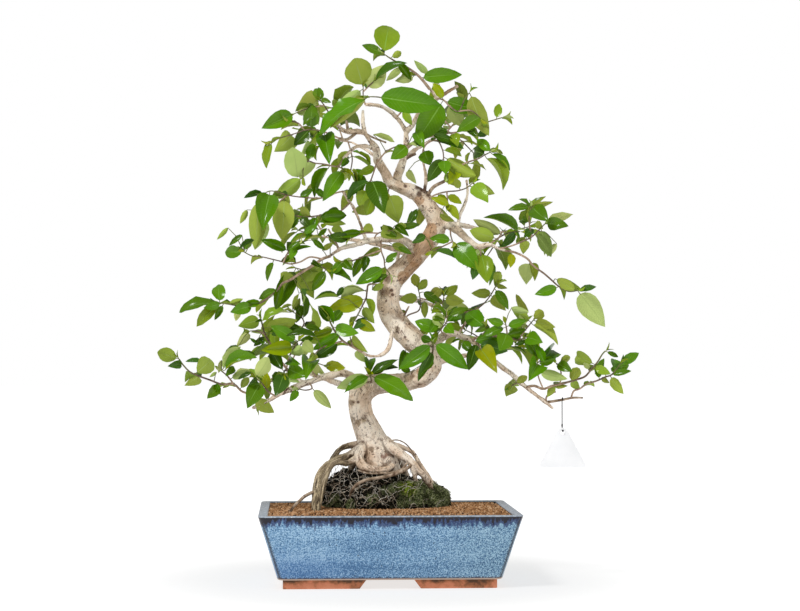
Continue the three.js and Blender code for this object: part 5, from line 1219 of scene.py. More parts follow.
# %% Rootlets
ROOTLETS_BEHIND = 50
ROOTLET_STEP = 1.6 * MM
ROOTLET_STEPS = (10, 34)
ROOTLET_RADIUS = (0.2, 0.42)
ROOTLET_LIFT = 1.7 * MM
LIFT_RANGE = (0.5, 1.7)
CREEP_TURN = 0.3
HANG_SWAY = 0.5
SWAY_GROWTH = 1.6
THIN_END = 0.6
PALER = 0.45
ROOTLET_WINDOWS = [(92, (322, 392), (470, 503)), (16, (392, 436), (478, 490))]
HANGING = [
    ((336, 463, -2), (330, 486, -12)), ((340, 462, 4), (345, 484, 0)), ((344, 463, 2), (338, 488, -8)),
    ((348, 464, 6), (352, 482, 4)), ((331, 468, -6), (336, 492, -16)), ((350, 462, 20), (346, 482, 14)),
    ((356, 466, 10), (360, 488, -16)), ((334, 466, 2), (342, 478, 20)), ((328, 474, -10), (326, 496, -20)),
    ((402, 458, 10), (398, 480, 0)), ((412, 466, 8), (405, 482, 4)), ((366, 470, 4), (358, 490, -20)),
    ((341, 461, 6), (328, 480, 8)), ((372, 472, -2), (352, 478, -6)), ((348, 460, 30), (332, 478, 26))]

rootlet_skin, tree, shader = new_material("rootlets", Roughness=0.8, Specular_IOR_Level=0.1)
shade = stored(tree, "age")
tone = ramp(tree, shade, (0.0, colour(26, 20, 16)), (0.4, colour(110, 92, 72)),
            (0.62, colour(204, 188, 166)), (1.0, colour(250, 244, 232)))
paint(tree, shader, mix(tree, times(tree, noise(tree, object_place(tree), 300), 0.2), tone,
                        colour(70, 56, 42)))


def creep(start, heading, steps, chance):
    """A walk over the mound from a place on it."""
    path = []
    place = start
    for _ in range(steps):
        found, spot, normal, _ = mound.closest_point_on_mesh(place)
        if not found:
            break
        path.append(spot + normal * ROOTLET_LIFT * chance.uniform(*LIFT_RANGE))
        heading = heading + Vector(chance.uniform(-CREEP_TURN, CREEP_TURN) for _ in range(3))
        heading = (heading - normal * heading.dot(normal)).normalized()
        place = spot + heading * ROOTLET_STEP
    return path


def hang(start, end, chance):
    """A crooked thread between two places."""
    steps = max(round((end - start).length / ROOTLET_STEP), 4)
    path = [start]
    sway = Vector()
    for step in range(1, steps):
        sway += Vector(chance.uniform(-HANG_SWAY, HANG_SWAY) for _ in range(3)) * MM
        path.append(start.lerp(end, step / steps) + sway * math.sin(math.pi * step / steps) * SWAY_GROWTH)
    return path + [end]


chance = random.Random(17)
corners = [corner.co.copy() for corner in mound.data.vertices]
starts = [on_mound(chance.uniform(*across), chance.uniform(*down))
          for amount, across, down in ROOTLET_WINDOWS for _ in range(amount)]
starts += [chance.choice(corners) for _ in range(ROOTLETS_BEHIND)]
threads, shades = [], []
for start in starts:
    heading = Vector((chance.uniform(-1, 1), chance.uniform(-1, 1), chance.uniform(-0.7, 0.5)))
    threads.append(creep(start, heading, chance.randint(*ROOTLET_STEPS), chance))
for start, end in HANGING:
    threads.append(hang(seen(start), seen(end), chance))
threads = [path for path in threads if len(path) > 3]
paths = []
for path in threads:
    girth = chance.uniform(*ROOTLET_RADIUS) * MM
    paths.append((path, [girth * (1 - THIN_END * step / len(path)) for step in range(len(path))]))
    shades += [chance.random() ** PALER] * len(path)
rootlet_chains = chain_object("rootlet_chains", paths)
store(rootlet_chains.data, "age", "FLOAT", "value", shades)
grow(rootlet_chains, tube_tree, {"Sides": 5, "Surface": rootlet_skin})
rootlets = finished(rootlet_chains, "rootlets")
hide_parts("root_mound")
print("rootlets:", len(paths), "of", triangle_count(rootlets.data), "triangles in all")

# %% [markdown]
# ## Leaves
# Eugenia leaves sit in opposite pairs: glossy, long-pointed, folded a little along a pale midrib,
# with a duller and paler underside. A handful of modelled leaves, each folded, waved and twisted
# in its own way, is enough for the whole tree, because size, turn and colour differ as well. Each
# has a coarser twin for the small leaves.

# %% Leaf materials
def leaf_material(name, attribute, gloss, wax, rib_tone, rib_strength, vein_strength):
    made, tree, shader = new_material(name, Roughness=gloss, Specular_IOR_Level=0.05,
                                      Coat_Weight=wax, Coat_Roughness=0.14)
    where = node(tree, "ShaderNodeUVMap", uv_map="leaf").outputs["UV"]
    parts = node(tree, "ShaderNodeSeparateXYZ", {0: where}).outputs
    offside = math_node(tree, "ABSOLUTE", minus(tree, parts["Y"], 0.5))
    tone = stored(tree, attribute, "Color")
    place = object_place(tree)
    blotch = noise(tree, place, 60, 4, 0.6)
    tone = mix(tree, times(tree, between(tree, blotch, 0.35, 0.7), 0.35), tone,
               node(tree, "ShaderNodeHueSaturation", {
                   "Color": tone, "Hue": 0.487, "Saturation": 0.95, "Value": 1.18}).outputs["Color"])
    slant = minus(tree, parts["X"], times(tree, offside, 0.42))
    wave = math_node(tree, "SINE", times(tree, slant, 88.0))
    veins = between(tree, wave, 0.72, 1.0)
    tone = mix(tree, times(tree, veins, vein_strength), tone, rib_tone)
    taper = times(tree, minus(tree, 1.05, parts["X"]), 0.032)
    rib = math_node(tree, "LESS_THAN", offside, taper)
    tone = mix(tree, times(tree, rib, rib_strength), tone, rib_tone)
    paint(tree, shader, tone)
    height = minus(tree, times(tree, veins, -0.4), rib)
    height = plus(tree, height, times(tree, noise(tree, place, 160, 2), 1.6))
    bump(tree, shader, height, 0.0006, 0.6)
    return made


upper_side = leaf_material("leaf upper side", "upper_tone", 0.24, 0.3, colour(140, 184, 84), 0.45, 0.1)
under_side = leaf_material("leaf underside", "under_tone", 0.45, 0.0, colour(160, 180, 104), 0.6, 0.18)

stem_skin, tree, shader = new_material("leaf stems", Roughness=0.55, Specular_IOR_Level=0.2)
age = stored(tree, "age")
streaks = noise(tree, object_place(tree), 260, 4)
young = ramp(tree, streaks, (0.3, colour(80, 92, 40)), (0.7, colour(124, 124, 70)))
old = ramp(tree, streaks, (0.3, colour(64, 50, 42)), (0.7, colour(134, 112, 92)))
woody = ramp(tree, streaks, (0.3, colour(128, 104, 84)), (0.7, colour(206, 178, 154)))
old = mix(tree, between(tree, age, 0.35, 0.8), old, woody)
paint(tree, shader, mix(tree, between(tree, age, 0.02, 0.3), young, old))
bump(tree, shader, streaks, 0.0002, 0.5)

# %% Leaf shapes
FINE_ROWS = [0.05, 0.15, 0.3, 0.48, 0.66, 0.82, 0.94]
COARSE_ROWS = [0.08, 0.3, 0.6, 0.86]
SMALL_LEAF = 25 * MM
ACROSS = [-1, -0.55, 0, 0.55, 1]
LEAF_THICK = 0.012
RIM_ANGLE = math.radians(80)
USUAL_ARCH = 0.08
TIP_CURL = 0.05
NARROWING = (0.62, 0.96)
WIDEST = 0.347
LEAF_FORMS = [
    {"fold": 0.5, "wave": 0.014, "twist": 0.15, "sway": 0.04},
    {"fold": 0.32, "wave": 0.024, "twist": -0.4, "sway": -0.06},
    {"fold": 0.72, "wave": 0.012, "twist": 0.45, "sway": 0.03},
    {"fold": 0.2, "wave": 0.03, "twist": 0.1, "sway": 0.08},
    {"fold": 0.45, "wave": 0.02, "twist": -0.2, "sway": -0.08},
    {"fold": 0.85, "wave": 0.01, "twist": 0.25, "sway": -0.03},
    {"fold": 0.36, "wave": 0.026, "twist": -0.5, "sway": 0.07},
    {"fold": 1.5, "wave": 0.012, "twist": -0.1, "sway": 0.02},
    {"fold": 1.2, "wave": 0.02, "twist": 0.3, "sway": -0.05},
]

leaf_shapes = bpy.data.collections.new("leaf shapes")


def leaf_place(along, across, form, order):
    """A place on the upper face of a leaf that is 1 long and 1 wide."""
    half = 0.5 * along ** NARROWING[0] * (1 - along) ** NARROWING[1] / WIDEST
    rise = USUAL_ARCH * 4 * along * (1 - along) + form["fold"] * abs(across) ** 1.4 * half * 0.45
    rise -= TIP_CURL * along ** 4
    rise += form["wave"] * abs(across) * math.sin(along * 15 + order * 1.7 + across)
    rise += form["twist"] * across * half * (along - 0.4)
    side = across * half * (1 - 0.12 * form["fold"]) + form["sway"] * along * (1 - along) * 2
    return Vector((along, side, rise))


def leaf_shape(order, form, rows):
    """A thin closed leaf: an upper and a lower sheet that share their rim."""
    last = len(ACROSS) - 1
    corners = [leaf_place(0, 0, form, order)]
    uppers, lowers = [], []
    for along in rows:
        uppers.append([])
        lowers.append([])
        for column, across in enumerate(ACROSS):
            place = leaf_place(along, across, form, order)
            uppers[-1].append(len(corners))
            corners.append(place)
            if column in (0, last):
                lowers[-1].append(uppers[-1][-1])
            else:
                lowers[-1].append(len(corners))
                corners.append(place - Vector((0, 0, LEAF_THICK)))
    corners.append(leaf_place(1, 0, form, order))
    tip = len(corners) - 1
    faces = []
    for sheet, flip in ((uppers, False), (lowers, True)):
        for column in range(last):
            ring = [(0, sheet[0][column + 1], sheet[0][column])]
            for row, onward in zip(sheet, sheet[1:]):
                ring.append((row[column], row[column + 1], onward[column + 1]))
                ring.append((row[column], onward[column + 1], onward[column]))
            ring.append((sheet[-1][column], sheet[-1][column + 1], tip))
            faces += [tuple(reversed(face)) if not flip else face for face in ring]
    mesh = bpy.data.meshes.new(f"leaf {order}")
    mesh.from_pydata(corners, [], faces)
    uv = mesh.uv_layers.new(name="leaf")
    half_way = len(faces) // 2
    store(mesh, "underside", "BOOLEAN", "value", [face >= half_way for face in range(len(faces))], "FACE")
    store(mesh, "is_blade", "BOOLEAN", "value", [True] * len(faces), "FACE")
    for loop in mesh.loops:
        place = corners[loop.vertex_index]
        half = 0.5 * max(place.x, 1e-6) ** NARROWING[0] * max(1 - place.x, 0) ** NARROWING[1] / WIDEST
        middle = form["sway"] * place.x * (1 - place.x) * 2
        across = (place.y - middle) / half if half > 1e-3 else 0
        uv.data[loop.index].uv = (place.x, 0.5 + 0.5 * across)
    for face in mesh.polygons:
        face.use_smooth = True
    mesh.set_sharp_from_angle(angle=RIM_ANGLE)
    shape = bpy.data.objects.new(f"leaf_shape_{order}", mesh)
    leaf_shapes.objects.link(shape)
    return shape


shapes = []
for rows in (FINE_ROWS, COARSE_ROWS):
    for form in LEAF_FORMS:
        shapes.append(leaf_shape(len(shapes), form, rows))
print("leaf shapes:", len(shapes), "of", triangle_count(shapes[0].data), "and",
      triangle_count(shapes[-1].data), "triangles")

# %% [markdown]
# ## Where each leaf is
# The solids already hold the large blades, as three-cornered spindles: two rims and a keel. Reading
# a spray's node back gives each blade's tip, its widest ring and its face, so the fine leaf lies
# where the solid blade lies. The drawing adds what kind of green it is.

# %% Finding the blades
LEAST_WIDTH = 3.5 * MM
NECK_WIDTH = 2 * MM
KEEL_RANGE = (0.7 * MM, 1.8 * MM)
THIN_KEEL = 1.27 * MM
MIDDLE_SHARE = 0.45
OUTER_SHARE = 0.72
INNER_SHARE = 0.36
OUTER_WIDTH = 0.7
STALK_SHARE = 0.07


def blade_ring(corners):
    """The middle, width, keel depth and face of three corners: two rims and a keel."""
    choices = []
    for order in range(3):
        keel, left, right = (corners[(order + turn) % 3].co for turn in range(3))
        middle = (left + right) / 2
        choices.append(((middle - keel).length, middle, (left - right).length, middle - keel))
    depth, middle, width, face = min(choices, key=lambda choice: choice[0])
    return middle.copy(), width, depth, face.normalized()


def find_blades(node_name, stems):
    shell = bmesh.new()
    shell.from_mesh(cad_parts[node_name].data)
    bmesh.ops.remove_doubles(shell, verts=shell.verts, dist=SAME_CORNER)
    blades = []
    for tip in shell.verts:
        ring = [edge.other_vert(tip) for edge in tip.link_edges]
        if len(ring) != 3:
            continue
        middle, width, depth, face = blade_ring(ring)
        if width < LEAST_WIDTH or not KEEL_RANGE[0] < depth < KEEL_RANGE[1]:
            continue
        share = MIDDLE_SHARE if depth > THIN_KEEL else OUTER_SHARE
        whole_width = width if depth > THIN_KEEL else width / OUTER_WIDTH
        passed = {tip, *ring}
        neck = None
        while neck is None:
            onward = {edge.other_vert(corner) for corner in ring for edge in corner.link_edges} - passed
            if len(onward) != 3:
                break
            ring = list(onward)
            passed |= onward
            inner, inner_width, _, inner_face = blade_ring(ring)
            if inner_width < NECK_WIDTH:
                neck = sum((corner.co for corner in ring), Vector()) / 3
            elif share < OUTER_SHARE:
                break
            else:
                middle, whole_width, face, share = inner, inner_width, inner_face, INNER_SHARE
        if neck is None:
            guess = tip.co + (middle - tip.co) / (1 - share)
            neck = nearest_place(guess, stems)[0]
        blades.append({"tip": tip.co.copy(), "neck": neck, "middle": middle, "width": whole_width,
                       "face": face})
    shell.free()
    return blades


# %% [markdown]
# ## One tree of nodes for every spray
# Python lays down a spray's stems as chains of edges, and a loose point for each leaf that knows
# its turn, size, shape and colours. Geometry Nodes sweep the stems and set a leaf on each point.

# %% Spray by Geometry Nodes
def attribute(tree, name, kind):
    return node(tree, "GeometryNodeInputNamedAttribute", {"Name": name}, data_type=kind
                ).outputs["Attribute"]


spray_tree, given, result = geometry_tree("Leafy spray", [
    ("Stem sides", "Int", 6), ("Leaves", "Collection", None), ("Upper", "Material", None),
    ("Under", "Material", None), ("Stem", "Material", None)])
is_leaf = attribute(spray_tree, "is_leaf", "BOOLEAN")
chains = node(spray_tree, "GeometryNodeDeleteGeometry", {
    "Geometry": given["Geometry"], "Selection": is_leaf}, domain="POINT").outputs[0]
stems = sweep(spray_tree, chains, given["Stem sides"])
stems = node(spray_tree, "GeometryNodeSetShadeSmooth", {"Geometry": stems}).outputs[0]
picked = node(spray_tree, "GeometryNodeCollectionInfo", {
    "Collection": given["Leaves"], "Separate Children": True, "Reset Children": True}).outputs[0]
leaves = node(spray_tree, "GeometryNodeInstanceOnPoints", {
    "Points": given["Geometry"], "Selection": is_leaf, "Instance": picked, "Pick Instance": True,
    "Instance Index": attribute(spray_tree, "shape", "INT"),
    "Rotation": attribute(spray_tree, "turn", "QUATERNION"),
    "Scale": attribute(spray_tree, "size", "FLOAT_VECTOR")}).outputs[0]
joined = node(spray_tree, "GeometryNodeJoinGeometry")
for part in (stems, leaves):
    spray_tree.links.new(part, joined.inputs[0])
grown = surfaced(spray_tree, joined.outputs[0], given["Stem"])
for face_kind, surface in (("is_blade", "Upper"), ("underside", "Under")):
    grown = node(spray_tree, "GeometryNodeSetMaterial", {
        "Geometry": grown, "Selection": attribute(spray_tree, face_kind, "BOOLEAN"),
        "Material": given[surface]}).outputs[0]
spray_tree.links.new(grown, result)

# %% [markdown]
# ## Growing the sprays
# Each spray of the drawing becomes one piece and takes its node's place. A leaf takes the kind
# of green that is noted beside the nearest drawn tip, and a little chance of its own: v vivid,
# g mid green, d dark, b bluish, y yellow-olive, o olive and p pale.

# %% The drawn sprays
STEM_RADII = (1.1, 0.65)
SPRAYS = {}


def spray(name, *stems, thick=STEM_RADII, **tips):
    """A spray as it is drawn: its stems, the first one's radii, and leaf tips by kind of green."""
    SPRAYS[name] = {"stems": stems, "thick": thick, "tips": tips}


spray("apex", [(430, 88, -4), (421, 77, -8), (413, 70, -11), (405, 65, -13), (397, 61, -15),
      (390, 57, -16), (384, 53, -16)], thick=(1.9, 0.7), v=[(462, 73)], g=[(362, 44), (411, 79)],
      o=[(401, 50), (389, 24)])
spray("top_left", [(365, 104, -18), (363, 95, -22), (363, 87, -25)], [(363, 91, -23), (373, 81, -24)],
      d=[(406, 61)])
spray("long_vivid", [(396, 117, 6), (402, 108, -16), (392, 101, -30), (382, 97, -40), (375, 96, -46),
      (368, 96, -50)], v=[(441, 104), (315, 138)], o=[(330, 127)])
spray("top_right", [(437, 97, 0), (444, 99, -20), (450, 105, -28), (459, 110, -34), (465, 98, -38),
      (470, 91, -40)], [(459, 110, -34), (470, 109, -38), (476, 112, -40), (481, 117, -41)],
      p=[(465, 126)], o=[(489, 134)], y=[(433, 82)])
spray("right_high", [(446, 132, -9), (457, 131, -20), (470, 127, -24), (487, 121, -27), (503, 116, -30)])
spray("upper_right", [(422, 158, -6), (424, 147, -14), (430, 141, -18), (438, 140, -22), (443, 150, -28),
      (444, 160, -31), (446, 172, -33)], d=[(428, 181)], o=[(456, 185)], g=[(414, 138)])
spray("right_curl", [(455, 169, -17), (466, 162, -28), (478, 158, -34), (485, 154, -37), (491, 151, -39)],
      d=[(474, 151)], g=[(511, 169)])
spray("inner_right", [(425, 200, 9), (436, 194, -10), (447, 191, -22), (458, 190, -28), (467, 187, -32),
      (473, 182, -34)], [(447, 191, -22), (448, 202, -28)], o=[(495, 193), (455, 178)])
spray("round_leaf", [(337, 125, -16), (329, 113, -30), (324, 105, -36), (320, 100, -40)],
      [(324, 105, -36), (308, 108, -44), (295, 113, -48)], p=[(318, 124)], g=[(314, 88)])
spray("far_left_top", [(339, 138, -22), (330, 134, -32), (322, 131, -38), (313, 129, -44),
      (304, 130, -48), (296, 133, -52), (283, 137, -56), (272, 141, -58)], [(304, 130, -48),
      (298, 123, -52), (290, 121, -54)], v=[(329, 163)], g=[(312, 105)])
spray("left_glossy", [(343, 159, -10), (337, 166, -22), (325, 164, -30), (315, 163, -36), (307, 161, -40),
      (303, 169, -42), (303, 177, -43)], [(337, 166, -22), (344, 169, -30)], p=[(300, 178)],
      v=[(313, 143), (323, 200)], o=[(274, 199)])
spray("left_pair", [(378, 157, 0), (376, 164, -16), (371, 179, -24), (367, 188, -27), (372, 196, -29)],
      [(376, 164, -16), (385, 152, -20), (396, 146, -24), (408, 144, -28)], d=[(384, 212)])
spray("trunk_top", [(393, 184, 5), (389, 188, -14), (388, 193, -20)])
spray("left_high", [(343, 191, -16), (335, 193, -26), (327, 197, -34), (315, 198, -42), (300, 197, -50),
      (287, 195, -56), (272, 191, -62), (265, 193, -64)], [(287, 195, -56), (276, 205, -42),
      (264, 216, -38)], v=[(263, 229)], g=[(313, 189), (315, 188)], o=[(281, 239)], p=[(255, 249)])
spray("left_inner", [(349, 203, -15), (340, 211, -26), (328, 214, -32), (315, 216, -38), (305, 217, -44),
      (297, 216, -48), (283, 214, -52), (274, 211, -54)], g=[(321, 222)], v=[(306, 238)], o=[(300, 207)],
      d=[(310, 228)])
spray("left_long", [(330, 256, -20), (322, 259, -30), (315, 264, -36), (302, 272, -44), (290, 280, -50),
      (283, 283, -53), (278, 289, -55), (272, 295, -58), (262, 302, -62), (252, 306, -66),
      (240, 306, -70), (228, 304, -74), (220, 303, -76)], [(322, 259, -30), (310, 257, -40),
      (300, 262, -46), (290, 264, -50), (283, 262, -54), (275, 260, -57), (262, 257, -62),
      (252, 256, -67), (244, 252, -70)], [(283, 262, -54), (289, 251, -60), (297, 245, -64)],
      [(315, 264, -36), (306, 270, -26), (296, 268, -20)], [(315, 264, -36), (326, 269, -40)],
      thick=(1.9, 0.85), v=[(219, 284), (231, 312), (290, 259)], g=[(180, 311), (215, 320), (225, 252),
      (250, 239), (267, 281), (352, 281)], p=[(236, 321)], o=[(313, 297)])
spray("mid_hang", [(381, 240, -2), (381, 250, -18), (384, 259, -24), (385, 267, -28), (390, 274, -30)],
      [(381, 250, -18), (370, 254, -26), (354, 260, -34), (342, 261, -38)], v=[(356, 284), (331, 274)],
      g=[(353, 270), (397, 252)])
spray("mid_top", [(374, 240, -5), (378, 233, -18), (392, 230, -24)], [(378, 233, -18), (364, 233, -28),
      (351, 238, -34)], o=[(406, 224), (404, 237)])
spray("right_big", [(450, 226, 4), (451, 235, -16), (453, 241, -24)], [(453, 241, -24), (441, 247, -28),
      (433, 251, -30)], v=[(478, 269)])
spray("right_olive", [(477, 245, -11), (481, 251, -28), (480, 259, -34), (477, 264, -36)])
spray("right_inner", [(490, 244, -17), (498, 238, -4), (507, 233, 0), (516, 231, 2), (521, 231, 2)],
      o=[(470, 230)])
spray("right_cluster", [(500, 248, -20), (513, 245, -34), (525, 240, -40), (533, 236, -45),
      (541, 228, -50), (546, 223, -52)], [(533, 236, -45), (531, 228, -48), (530, 217, -52),
      (532, 206, -54)], g=[(509, 209)], o=[(554, 201)], p=[(574, 213)], d=[(525, 236)])
spray("far_right", [(506, 250, -21), (516, 252, -26), (528, 258, -30), (534, 265, -32), (545, 273, -33),
      (552, 279, -34), (560, 286, -36), (570, 291, -38), (579, 290, -40)], thick=(1.6, 0.8),
      v=[(536, 294)], p=[(527, 283)], y=[(511, 267)])
spray("centre", [(404, 326, 12), (407, 316, 30), (419, 310, 36), (420, 298, 38), (418, 288, 38)],
      [(420, 298, 38), (432, 301, 34), (442, 303, 31), (444, 296, 30)], o=[(414, 273), (427, 279),
      (441, 288)])
spray("right_back", [(448, 312, 108), (466, 312, 88), (481, 306, 72), (491, 295, 60), (497, 284, 54)],
      o=[(500, 272), (506, 310), (484, 318)], v=[(509, 309)], g=[(462, 324)])
spray("low_mid", [(446, 336, -15), (441, 330, -34), (446, 323, -42), (448, 316, -45)], v=[(433, 326)],
      g=[(469, 308)], p=[(436, 312)])
spray("front_big", [(431, 364, 0), (432, 357, -26), (433, 349, -38), (433, 342, -44)], thick=(1.5, 1),
      v=[(399, 369), (468, 369)], d=[(418, 381)])
spray("right_mid", [(471, 340, -22), (480, 337, -34), (495, 336, -40), (508, 337, -44), (519, 340, -46),
      (526, 337, -49)], [(480, 337, -34), (486, 331, -46), (486, 327, -50)], [(508, 337, -44),
      (507, 328, -50), (506, 323, -52)], [(519, 340, -46), (525, 331, -38), (530, 325, -34),
      (534, 320, -32)], thick=(2, 1), v=[(467, 312), (543, 342), (540, 358), (509, 331)], o=[(512, 307),
      (545, 311), (556, 327), (559, 344)], p=[(519, 316)])
spray("right_under", [(475, 344, -22), (478, 343, -38), (480, 348, -44)], d=[(469, 370)])
spray("low_right", [(527, 387, -25), (535, 386, -32), (544, 389, -36), (553, 386, -38), (566, 383, -39),
      (580, 379, -40), (587, 376, -41), (593, 369, -42), (599, 362, -43), (604, 354, -44),
      (607, 351, -44)], [(544, 389, -36), (539, 376, -50), (538, 363, -60)], [(561, 384, -39),
      (562, 372, -44), (557, 363, -47)], thick=(1.9, 0.9), v=[(557, 358)], p=[(568, 379), (585, 360)],
      o=[(571, 356), (581, 368), (581, 389), (577, 355), (548, 397)], g=[(620, 357)])
spray("far_right_low", [(572, 398, -22), (575, 391, -30), (581, 389, -33), (588, 384, -35),
      (598, 381, -37), (607, 377, -39), (613, 375, -40), (619, 368, -42), (622, 364, -43)],
      thick=(1.3, 0.75), v=[(641, 353), (616, 359), (631, 364)], g=[(633, 371)], o=[(625, 394)])
spray("low_right_twig", [(521, 383, -25), (515, 384, -42), (512, 386, -46)], o=[(507, 396), (528, 376)])
spray("far_left", [(258, 404, -16), (252, 395, -30), (242, 391, -36), (234, 384, -40), (222, 384, -43),
      (211, 380, -46), (200, 376, -49), (191, 372, -52), (184, 365, -54), (180, 359, -56)],
      [(234, 384, -40), (228, 376, -48), (222, 371, -52)], thick=(1.5, 0.8), o=[(158, 352), (212, 359),
      (186, 385), (249, 377), (274, 412)], b=[(169, 366)], g=[(208, 398), (234, 367)], p=[(240, 346),
      (250, 370)], v=[(256, 356)])
spray("inner_left", [(290, 372, -8), (281, 361, 0), (273, 348, 6), (265, 334, 8), (262, 323, 4),
      (261, 319, 2)], [(265, 334, 8), (257, 331, -4), (250, 331, -10)], [(273, 348, 6), (290, 337, 20),
      (303, 326, 26), (302, 318, 28), (293, 312, 30)], thick=(1.6, 0.9), o=[(297, 320), (300, 298),
      (280, 326)], d=[(254, 346)], g=[(297, 305), (301, 290), (322, 331)])
spray("left_heart", [(292, 374, -7), (286, 370, -28), (284, 372, -36)], [(286, 370, -28), (290, 355, -34),
      (295, 346, -38), (298, 341, -40)], thick=(1.6, 1), d=[(272, 352)], b=[(276, 395)], v=[(271, 326),
      (313, 338), (300, 364)], y=[(262, 350)], p=[(304, 349)])
spray("left_drop", [(276, 396, -12), (268, 391, -40), (262, 383, -48), (256, 378, -52)], g=[(248, 407)],
      y=[(266, 371)], p=[(269, 357)], d=[(249, 385)])
spray("left_under", [(309, 382, -5), (312, 388, -18), (306, 390, -24), (299, 389, -28)], p=[(331, 408)],
      v=[(290, 401)])
spray("left_yellow", [(318, 379, -2), (311, 369, -16), (312, 362, -22), (323, 365, -28)], y=[(345, 368)])
spray("trunk_front", [(371, 386, 14), (371, 379, -10), (370, 375, -20)], p=[(337, 388)], v=[(344, 392),
      (413, 400), (369, 359)], d=[(398, 359)])
spray("hanging_leaves", [(362, 352, -26), (353, 347, -32), (343, 341, -38), (336, 333, -44),
      (332, 326, -48), (330, 322, -50)], [(343, 341, -38), (331, 344, -46), (320, 349, -52),
      (314, 355, -55)], [(353, 347, -32), (351, 341, -44), (350, 337, -48)], thick=(1.6, 0.9),
      d=[(318, 306)], v=[(341, 311)], p=[(320, 333)], o=[(309, 362)])
spray("trunk_left", [(385, 285, 19), (370, 284, -8), (367, 291, -16), (366, 298, -20), (362, 306, -24),
      (358, 314, -27), (354, 321, -29)], thick=(1.3, 0.9), y=[(328, 309), (375, 331)], b=[(366, 322)])
spray("back_left_low", [(298, 370, 108), (284, 356, 122), (270, 344, 132)], [(291, 363, 115),
      (300, 345, 134), (312, 334, 146)], [(296, 368, 110), (280, 378, 126), (264, 384, 136)])
spray("back_right_low", [(486, 356, 100), (502, 350, 118), (518, 346, 128)], [(494, 353, 109),
      (480, 338, 130), (466, 330, 142)], [(502, 350, 118), (512, 336, 134), (520, 330, 142)])
spray("back_centre", [(446, 311, 108), (444, 322, 128), (438, 334, 144)], [(445, 318, 120),
      (456, 312, 138), (470, 316, 150)])
spray("back_left_mid", [(334, 238, 116), (316, 236, 130), (298, 230, 140)], [(325, 237, 123),
      (316, 222, 136), (306, 212, 142)])
spray("back_right_mid", [(494, 232, 110), (512, 230, 124), (530, 226, 132)], [(503, 231, 117),
      (494, 246, 130), (486, 258, 138)])
spray("back_top", [(352, 142, 88), (334, 140, 100), (316, 144, 108)], [(343, 141, 94), (338, 124, 106),
      (336, 108, 112)], [(348, 141, 91), (352, 158, 108), (350, 172, 116)])
spray("back_top_right", [(446, 132, 84), (456, 120, 96), (464, 106, 104)], [(451, 126, 90),
      (438, 112, 104), (430, 100, 110)], [(448, 130, 86), (462, 140, 100), (474, 152, 108)])

# %% Leaf colours and places
LEAF_TONES = {
    "v": ((84, 132, 0), (130, 154, 34)), "g": ((76, 114, 0), (122, 144, 40)),
    "d": ((54, 88, 0), (102, 124, 36)), "b": ((62, 102, 26), (114, 138, 66)),
    "y": ((142, 158, 0), (146, 162, 26)), "o": ((118, 144, 20), (146, 164, 62)),
    "p": ((134, 164, 42), (176, 194, 112)),
}
COMMON_TONES = "vvvggggddboop"
LIGHT_RANGE = (0.84, 1.16)
TINT_RANGE = (0.93, 1.07)
SAME_TIP = 9
STALK_RADIUS = 0.5 * MM
YOUNG_LENGTH = (9, 15)
YOUNG_RATIO = 0.42
YOUNG_OPENING = (0.35, 0.7)
YOUNG_TONES = "vypo"
LEAF_REACH = 1.02
LEAST_LIFT = 0.4
MOST_LIFT = 1.8
FULLER = (1.2, 1.02)
SLENDER = (0.4, 0.62)


def varied(rgb, chance):
    light = chance.uniform(*LIGHT_RANGE)
    return [channel * light * chance.uniform(*TINT_RANGE) for channel in colour(*rgb)[:3]] + [1.0]


def tone_near(tip, tips, chance):
    spot = drawn_place(tip)
    nearest = min(((spot - Vector(drawn)).length, kind)
                  for kind, group in tips.items() for drawn in group) if tips else (99, None)
    return nearest[1] if nearest[0] < SAME_TIP else chance.choice(COMMON_TONES)


def leaf_turn(chord, face):
    """The turn that lays a leaf's length along the chord and its upper side along the face."""
    along = chord.normalized()
    up = (face - along * face.dot(along)).normalized()
    side = up.cross(along)
    return Matrix((along, side, up)).transposed().to_quaternion()


def leaf_on(blade, tips, chance):
    """The point that carries a leaf, from a blade of the solids."""
    neck, tip, face = blade["neck"], blade["tip"], blade["face"]
    base = neck.lerp(tip, STALK_SHARE)
    chord = tip - base
    share = min(max((blade["middle"] - base).dot(chord) / chord.length_squared, 0.2), 0.7)
    off = (blade["middle"] - base - chord * share).dot(face)
    arch = off / (4 * share * (1 - share))
    lift = min(max(arch / USUAL_ARCH, chord.length * LEAST_LIFT), chord.length * MOST_LIFT)
    kind = blade.get("kind") or tone_near(tip, tips, chance)
    plump = (blade["width"] / chord.length - SLENDER[0]) / (SLENDER[1] - SLENDER[0])
    fuller = FULLER[0] + (FULLER[1] - FULLER[0]) * min(max(plump, 0), 1)
    width = max(blade["width"] * fuller, blade.get("drawn_width", 0))
    return {"place": base, "turn": leaf_turn(chord, face),
            "size": (chord.length * LEAF_REACH, width, lift),
            "shape": chance.randrange(len(LEAF_FORMS)),
            "tones": [varied(rgb, chance) for rgb in LEAF_TONES[kind]]}


